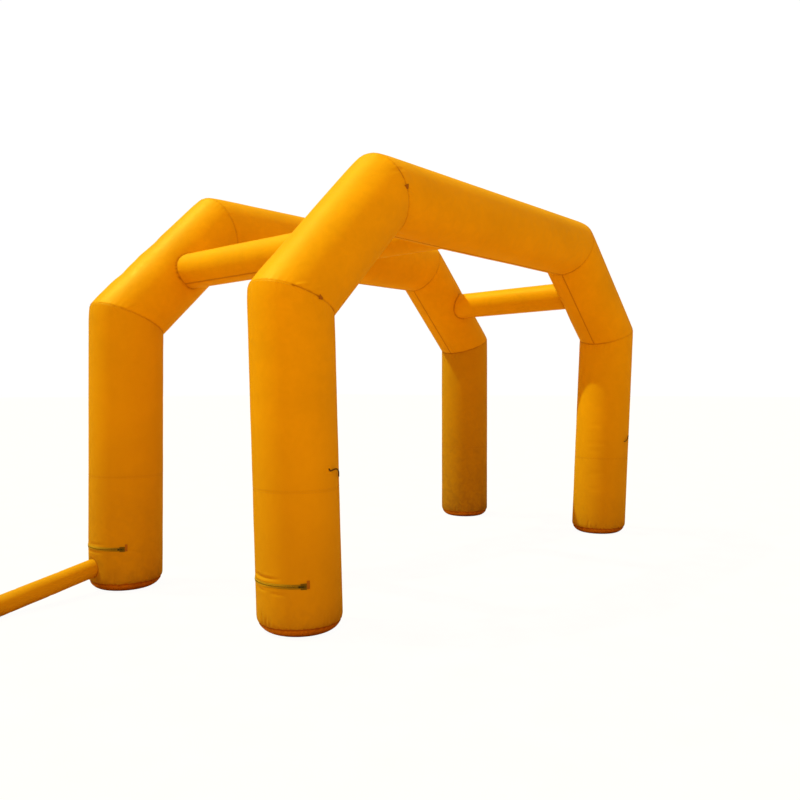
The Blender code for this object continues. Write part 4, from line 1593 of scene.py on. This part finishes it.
class ArchStage(bpy.types.Operator):
    """Make the camera, the lights and the floor"""

    bl_idname = "arch.stage"
    bl_label = "Camera, Light and Floor"

    def execute(self, context):
        stage = context.scene.arch_stage
        forward = unit(np.array(CAMERA_FORWARD))
        right = unit(np.cross(forward, CAMERA_UP))
        turn = Matrix((right, np.cross(right, forward), -forward)).transposed().to_4x4()
        lens = bpy.data.cameras.new("photograph camera")
        lens.lens = CAMERA_LENS
        lens.sensor_width = 36.0
        camera = bpy.data.objects.new("photograph_camera", lens)
        camera.matrix_world = Matrix.Translation(to_part(CAMERA_PLACE)) @ turn
        context.scene.collection.objects.link(camera)
        context.scene.camera = camera

        sun = bpy.data.lights.new("main light", "SUN")
        sun.energy = stage.sun_strength
        sun.color = (0.80, 1.0, 0.20)
        sun.angle = math.radians(0.9)
        lamp = bpy.data.objects.new("main_light", sun)
        level = math.cos(stage.sun_elevation)
        right = level * math.cos(stage.sun_bearing)
        back = level * math.sin(stage.sun_bearing)
        towards = Vector((right, back, math.sin(stage.sun_elevation)))
        lamp.rotation_euler = towards.to_track_quat("Z", "Y").to_euler()
        context.scene.collection.objects.link(lamp)

        panel = bpy.data.lights.new("front light", "AREA")
        panel.energy = stage.front_power
        panel.color = stage.front_colour
        panel.size = 6.0
        lamp = bpy.data.objects.new("front_light", panel)
        lamp.location = (-9.8, -8.8, 7.2)
        lamp.rotation_euler = (Vector((-1.4, 0.0, 1.6)) - lamp.location).to_track_quat("-Z", "Y").to_euler()
        context.scene.collection.objects.link(lamp)

        self.make_world(context.scene, stage)
        self.make_floor(context.scene, stage)
        context.scene.view_settings.view_transform = "Standard"
        return {"FINISHED"}

    def make_world(self, scene, stage):
        """White behind the arch, and a warmer, dimmer light on it."""
        world = bpy.data.worlds.new("studio")
        world.use_nodes = True
        world.node_tree.nodes.clear()
        tree = Tree(world.node_tree)
        seen = tree.add("ShaderNodeLightPath").node.outputs["Is Camera Ray"]
        way = tree.add("ShaderNodeTexCoord").node.outputs["Generated"]
        upward = tree.add("ShaderNodeSeparateXYZ", {"Vector": way}).node.outputs["Z"]
        glow = tree.mix(upward, rgba(stage.level_colour), rgba(stage.overhead_colour))
        fill = tree.add("ShaderNodeBackground", {"Color": glow})
        white = tree.add("ShaderNodeBackground", {"Color": rgba(stage.floor_colour), "Strength": 1.05})
        both = tree.add("ShaderNodeMixShader", {0: seen, 1: fill, 2: white})
        tree.add("ShaderNodeOutputWorld", {"Surface": both})
        scene.world = world

    def make_floor(self, scene, stage):
        """A large pale floor. The camera sees it nearly white, with a faint shadow under the arch."""
        mesh = bpy.data.meshes.new("floor")
        half = 150.0
        corners = [(-half, -half, 0.0), (half, -half, 0.0), (half, half, 0.0), (-half, half, 0.0)]
        mesh.from_pydata(corners, [], [(0, 1, 2, 3)])
        floor = bpy.data.objects.new("floor", mesh)
        material = bpy.data.materials.new("pale floor")
        material.use_nodes = True
        material.node_tree.nodes.clear()
        tree = Tree(material.node_tree)
        seen = tree.add("ShaderNodeLightPath").node.outputs["Is Camera Ray"]
        speckle = tree.noise(tree.add("ShaderNodeTexCoord").node.outputs["Object"], 3.0)
        paint = tree.mix(speckle, rgba(stage.floor_colour, 0.96), rgba(stage.floor_colour))
        pale = tree.add("ShaderNodeBsdfDiffuse", {"Color": paint})
        glow = tree.add("ShaderNodeEmission", {"Color": paint, "Strength": 1.08})
        lit = tree.add("ShaderNodeMixShader", {0: 0.94, 1: pale, 2: glow})
        dim = tree.add("ShaderNodeBsdfDiffuse", {"Color": rgba(stage.bounce_colour)})
        both = tree.add("ShaderNodeMixShader", {0: seen, 1: dim, 2: lit})
        tree.add("ShaderNodeOutputMaterial", {"Surface": both})
        mesh.materials.append(material)
        scene.collection.objects.link(floor)
        floor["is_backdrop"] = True


class ArchTies(bpy.types.Operator):
    """Make the two tie cords, each with its sewn patch"""

    bl_idname = "arch.ties"
    bl_label = "Tie Cords"

    def execute(self, context):
        tubes = sewn_tubes(context.scene.arch_sewing)
        colours = context.scene.arch_cloth
        for name, (patch_angle, patch_height, route) in TIES.items():
            leg = tubes[name + "_leg"]
            places = [
                leg.line.at_height(np.radians(angle), TUBE_R + off, height)
                for angle, height, off in route
            ]
            path = smooth_route(places, CORD_POINTS_PER_SPAN)
            mesh, length = cord_mesh(name + "_tie_cord", path)
            node = name + "_tie_cord"
            cord = finished(node + "_twisted", mesh, node, tie_cord(colours))
            route_points = [tuple(point) for point in smooth_route(list(path), 5)]
            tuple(route_points[0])
            middle = math.radians(patch_angle)
            angles = np.linspace(middle - TIE_PATCH_HALF_ANGLE, middle + TIE_PATCH_HALF_ANGLE, 25)
            section = slab(patch_height, TIE_PATCH_HALF_HEIGHT, 0.0004, 0.0020, 0.0003)
            patch = strip_mesh(name + "_tie_patch", leg, angles, section)
            node = name + "_tie_patch"
            finished(node + "_sewn", patch, node, coated_cloth(colours))
        return {"FINISHED"}


class ArchTubes(bpy.types.Operator):
    """Make the ten blown-up tubes of the two arches"""

    bl_idname = "arch.tubes"
    bl_label = "Arch Tubes"

    def execute(self, context):
        for tube in sewn_tubes(context.scene.arch_sewing).values():
            if tube.name not in CROSS_TUBES:
                tube_object(tube, COLUMNS, coated_cloth(context.scene.arch_cloth))
        return {"FINISHED"}


class ArchBases(bpy.types.Operator):
    """Make the heavy base panels under the legs"""

    bl_idname = "arch.bases"
    bl_label = "Base Panels"

    def execute(self, context):
        tubes = sewn_tubes(context.scene.arch_sewing)
        for i, name in enumerate(name for name in tubes if name.endswith("leg")):
            gathers = Gathers(context.scene.arch_sewing.seed + 40 + i, 54, 0.0050, 0.0085, 0.060)
            edge = Ragged(gathers.angle.size + i, 150, 0.004, 0.017)
            angle, points, seam = base_points(tubes[name], gathers, edge)
            node = name.replace("leg", "base")
            # Painted darker towards the floor: dirt, and painted shade where the base panel turns under
            soil = 0.10 + 0.85 * np.exp(-((points[..., 2] / 0.026) ** 2))
            v = points[..., 2] + np.linalg.norm(points - points.mean(axis=1)[:, None], axis=-1)
            base = cloth_object(node, points, seam, soil, angle[None, :] * TUBE_R, v)
            base.data.materials.append(base_cloth(context.scene.arch_cloth))
        return {"FINISHED"}


class ArchCrossTubes(bpy.types.Operator):
    """Make the three tubes that join the arches"""

    bl_idname = "arch.cross_tubes"
    bl_label = "Cross Tubes"

    def execute(self, context):
        tubes = sewn_tubes(context.scene.arch_sewing)
        for name in CROSS_TUBES:
            tube_object(tubes[name], CROSS_COLUMNS, coated_cloth(context.scene.arch_cloth))
        return {"FINISHED"}


class ArchSleeve(bpy.types.Operator):
    """Make the air sleeve on the rear left leg"""

    bl_idname = "arch.sleeve"
    bl_label = "Air Sleeve"

    def execute(self, context):
        leg = sewn_tubes(context.scene.arch_sewing)["rear_left_leg"]
        angle, distance, points, seam, inside = sleeve_points(leg)
        # Darker towards the floor and a little all over, and painted shade inside the sleeve's mouth
        soil = np.maximum(0.5 * floor_darkening_at(points) + 0.12, inside)
        u = angle[None, :] * SLEEVE_R
        sleeve = cloth_object("air_sleeve", points, seam, soil, u, distance)
        sleeve.data.materials.append(coated_cloth(context.scene.arch_cloth))
        return {"FINISHED"}


class ArchZips(bpy.types.Operator):
    """Make the zips on the left legs, with their teeth, end patches, bars and sliders"""

    bl_idname = "arch.zips"
    bl_label = "Zips"

    def execute(self, context):
        tubes = sewn_tubes(context.scene.arch_sewing)
        colours, sizes = context.scene.arch_cloth, context.scene.arch_zip
        group = teeth_tree("zip teeth")
        for arch in ARCH_CORNERS:
            leg = tubes[arch + "_left_leg"]
            name = arch + "_left_zip"
            tape_angles = np.linspace(ZIP_FROM, ZIP_TO, 121)
            # Painted light on the tape: lighter on the leg's outer, sunlit side, none towards the front
            faded = np.interp(tape_angles, (0.0, 0.8 * ZIP_TO), (0.85, 0.0))[:, None]
            tape = strip_mesh(name + "_tape", leg, tape_angles, zip_section(), faded=faded)
            row = leg.at_height(np.linspace(ZIP_FROM + 0.01, ZIP_TO - 0.03, 240), ZIP_HEIGHT, 0.0030)
            values = {
                "Pitch": sizes.tooth_pitch,
                "Length": sizes.tooth_length,
                "Radius": sizes.tooth_radius,
                "Side step": 0.0016,
                "Material": zip_teeth(colours),
            }
            teeth = grown(name + "_teeth", [(row, False)], group, values)
            finished(name + "_tape_woven", tape, name + "_tape", zip_tape(colours))
            finished(name + "_teeth", teeth, None)
            gap = 0.0003 / TUBE_R
            patch_from = ZIP_TO + gap
            patch_to = patch_from + ZIP_PATCH_LENGTH / TUBE_R
            section = slab(ZIP_HEIGHT, 0.021, 0.0004, 0.0028, 0.0002)
            patch = strip_mesh(name + "_patch", leg, np.linspace(patch_from, patch_to, 19), section)
            finished(name + "_patch_sewn", patch, name + "_patch", zip_patch(colours))
            bar_to = patch_to + gap + ZIP_BAR_LENGTH / TUBE_R
            section = slab(ZIP_HEIGHT + ZIP_BAR_RISE, 0.028, 0.0004, 0.0033, 0.0002, 13)
            bar = strip_mesh(name + "_bar", leg, np.linspace(patch_to + gap, bar_to, 11), section)
            finished(name + "_bar_woven", bar, name + "_bar", webbing(colours))
            slider = join_meshes(name + "_slider", slider_meshes(leg))
            slider.shade_smooth()
            slider.set_sharp_from_angle(angle=math.radians(40.0))
            made = bpy.data.materials.get("slider metal")
            metal = made or metal_material("slider metal", (0.035, 0.028, 0.022))
            finished(name + "_slider_metal", slider, name + "_slider", metal)
        return {"FINISHED"}


def tab_mesh(name, before, after, angle, seat, breadth, length):
    """A webbing tab over a mitre seam, with rounded edges, tapering along the seam to its lower end."""
    across = unit(before.along + after.along)
    radial = before.radial(np.array(angle))
    base = before.start + TUBE_R * radial
    point = base + ((after.start - base) @ across) / (before.along @ across) * before.along
    normal = unit(radial + after.radial(np.array(angle)))
    width = unit(across - across @ normal * normal)
    up = np.cross(normal, width)
    turns = np.linspace(0.0, math.pi, 10)
    side, crown = 0.5 * breadth - TAB_EDGE, TAB_THICKNESS - TAB_EDGE
    section = [(math.copysign(side, math.cos(turn)), crown, turn) for turn in turns]
    section = [(x + TAB_EDGE * math.cos(turn), z + TAB_EDGE * math.sin(turn)) for x, z, turn in section]
    section += [(share * breadth, 0.0) for share in (-0.5, -0.25, 0.25, 0.5)]
    rows, uv = [], []
    for share in np.linspace(-1.0, 1.0, 25):
        taper = TAB_TIP + (1.0 - TAB_TIP) * 0.5 * (1.0 + share)
        sag = 0.0006 * share**4
        middle = point + (seat - sag) * normal + 0.5 * length * share * up
        rows.append([middle + taper * x * width + z * normal for x, z in section])
        uv.append([(taper * x, 0.5 * length * share) for x, z in section])
    return build_mesh(name, np.array(rows), np.array(uv), {})


class ArchTabs(bpy.types.Operator):
    """Make the webbing tabs over the front arch's left seams"""

    bl_idname = "arch.tabs"
    bl_label = "Seam Tabs"

    def execute(self, context):
        names = [row[0] for row in ARCH_CORNERS["front"]]
        points = [to_part(row[1:]) for row in ARCH_CORNERS["front"]]
        lines = [Line(first, last, TUBE_R, FRONT) for first, last in zip(points, points[1:])]
        for name, (corner, angle, seat, breadth, length) in SEAM_TABS.items():
            after = names.index(corner)
            pair = lines[after - 1], lines[after]
            mesh = tab_mesh(name, *pair, math.radians(angle), seat, breadth, length)
            finished(name + "_woven", mesh, name, webbing(context.scene.arch_cloth))
        return {"FINISHED"}


def seam_paths(tube, sewing):
    """Rows of stitches beside every seam of one tube."""
    margin, lift = sewing.seam_margin, 0.3 * sewing.thread_radius
    radius = tube.line.radius
    turn = np.linspace(-math.pi, math.pi, 240, endpoint=False)
    paths = []
    ends = [end.reach(tube.line, turn, radius) for end in tube.ends]
    extra = [0.008 if isinstance(end, SaddleEnd) else 0.0 for end in tube.ends]
    paths.append((tube.surface(turn, ends[0] + margin + extra[0], lift)[0], True))
    paths.append((tube.surface(turn, ends[1] - margin - extra[1], lift)[0], True))
    for height, _ in tube.rings:
        for side in (-1.0, 1.0):
            paths.append((tube.at_height(turn, height + side * margin, lift), True))
    for angle in tube.long_seams:
        for side in (-1.0, 1.0):
            along = np.array([angle + side * margin / radius])
            first, last = (end.reach(tube.line, along, radius)[0] for end in tube.ends)
            distance = np.arange(first + 2.0 * margin, last - 2.0 * margin, 0.010)
            paths.append((tube.surface(np.full(distance.shape, along[0]), distance, lift)[0], False))
    for branch in tube.branches:
        reach = branch.line.radius + margin
        side = SaddleEnd(tube.line, 0.005, branch.side, None)
        places = branch.line.point(turn, side.reach(branch.line, turn, reach), np.full(turn.shape, reach))
        span = places - tube.line.start
        angle = np.arctan2(span @ tube.line.front, span @ tube.line.out)
        paths.append((tube.surface(angle, span @ tube.line.along, lift)[0], True))
    return paths


def box_paths(leg, angles, heights, lift, cross):
    """A box of stitches on something sewn to a leg, with a cross in it where it carries a pull."""
    (low_angle, high_angle), (low, high) = angles, heights
    corners = [(low_angle, low), (high_angle, low), (high_angle, high), (low_angle, high)]
    sides = list(zip(corners, corners[1:] + corners[:1]))
    if cross:
        sides += [(corners[0], corners[2]), (corners[1], corners[3])]
    paths = []
    for (angle0, height0), (angle1, height1) in sides:
        share = np.linspace(0.0, 1.0, 12)
        row = leg.at_height(angle0 + share * (angle1 - angle0), height0 + share * (height1 - height0), lift)
        paths.append((row, False))
    return paths


def trim_paths(tubes):
    """Rows of stitches on the zips and the tie patches, in two lists."""
    zips, ties = [], []
    for arch in ARCH_CORNERS:
        leg = tubes[arch + "_left_leg"]
        along = np.linspace(ZIP_FROM + 0.01, ZIP_TO - 0.01, 160)
        for side in (-0.0128, 0.0128):
            zips.append((leg.at_height(along, ZIP_HEIGHT + side, 0.0020), False))
        patch_from = ZIP_TO + 0.014
        patch_to = ZIP_TO + ZIP_PATCH_LENGTH / TUBE_R - 0.012
        patch_heights = (ZIP_HEIGHT - 0.017, ZIP_HEIGHT + 0.017)
        zips += box_paths(leg, (patch_from, patch_to), patch_heights, 0.0031, False)
        bar_from = ZIP_TO + (ZIP_PATCH_LENGTH + 0.0030) / TUBE_R
        bar_to = bar_from + (ZIP_BAR_LENGTH - 0.0055) / TUBE_R
        middle = ZIP_HEIGHT + ZIP_BAR_RISE
        zips += box_paths(leg, (bar_from, bar_to), (middle - 0.024, middle + 0.024), 0.0036, False)
    for name, (patch_angle, height, route) in TIES.items():
        middle = math.radians(patch_angle)
        half = TIE_PATCH_HALF_ANGLE - 0.013
        heights = (height - TIE_PATCH_HALF_HEIGHT + 0.004, height + TIE_PATCH_HALF_HEIGHT - 0.004)
        ties += box_paths(tubes[name + "_leg"], (middle - half, middle + half), heights, 0.0024, True)
    return zips, ties


class ArchStitches(bpy.types.Operator):
    """Sew the seams: rows of thread beside every seam and round every patch"""

    bl_idname = "arch.stitches"
    bl_label = "Stitches"

    def execute(self, context):
        sewing = context.scene.arch_sewing
        colours = context.scene.arch_cloth
        tubes = sewn_tubes(sewing)
        group = stitch_tree("stitches")
        values = {
            "Pitch": sewing.stitch_pitch,
            "Length": sewing.stitch_length,
            "Thread radius": sewing.thread_radius,
            "Seed": sewing.seed,
            "Material": sewing_thread(colours),
        }
        for part in ("front", "rear", "cross"):
            paths = []
            for tube in tubes.values():
                if part in tube.name and (part == "cross") == (tube.name in CROSS_TUBES):
                    paths += seam_paths(tube, sewing)
            sewn_mesh = grown(part + "_stitches", paths, group, values)
            finished(part + "_stitches", sewn_mesh, None)
        fine = {**values, "Pitch": 0.0042, "Length": 0.0030, "Thread radius": 0.00045}
        zips, ties = trim_paths(tubes)
        finished("zip_stitches", grown("zip_stitches", zips, group, fine), None)
        finished("tie_stitches", grown("tie_stitches", ties, group, fine), None)
        return {"FINISHED"}


class ArchPanel(bpy.types.Panel):
    """The arch's settings, and the steps that make it"""

    bl_idname = "ARCH_PT_steps"
    bl_label = "Inflatable Arch"
    bl_space_type = "VIEW_3D"
    bl_region_type = "UI"
    bl_category = "Arch"

    def draw(self, context):
        layout = self.layout
        for settings in SETTINGS:
            box = layout.box()
            for name in SETTINGS[settings].__annotations__:
                box.prop(getattr(context.scene, settings), name)
        for step in STEPS:
            layout.operator(step.bl_idname)


SETTINGS = {
    "arch_cloth": ArchClothSettings,
    "arch_sewing": ArchSewingSettings,
    "arch_zip": ArchZipSettings,
    "arch_stage": ArchStageSettings,
}
STEPS = (
    ArchStage,
    ArchTies,
    ArchTubes,
    ArchBases,
    ArchCrossTubes,
    ArchSleeve,
    ArchZips,
    ArchTabs,
    ArchStitches,
)


def register():
    for settings in (*SETTINGS.values(), *STEPS, ArchPanel):
        bpy.utils.register_class(settings)
    for name, settings in SETTINGS.items():
        setattr(bpy.types.Scene, name, PointerProperty(type=settings))


def unregister():
    for name in SETTINGS:
        delattr(bpy.types.Scene, name)
    for settings in reversed((*SETTINGS.values(), *STEPS, ArchPanel)):
        bpy.utils.unregister_class(settings)


def main():
    register()
    bpy.ops.arch.stage()
    bpy.ops.arch.ties()
    bpy.ops.arch.tubes()
    bpy.ops.arch.bases()
    bpy.ops.arch.cross_tubes()
    bpy.ops.arch.sleeve()
    bpy.ops.arch.zips()
    bpy.ops.arch.tabs()
    bpy.ops.arch.stitches()
    boxes = [[list(corner) for corner in box] for box in (CAD_BOX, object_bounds())]


if __name__ == "__main__":
    main()
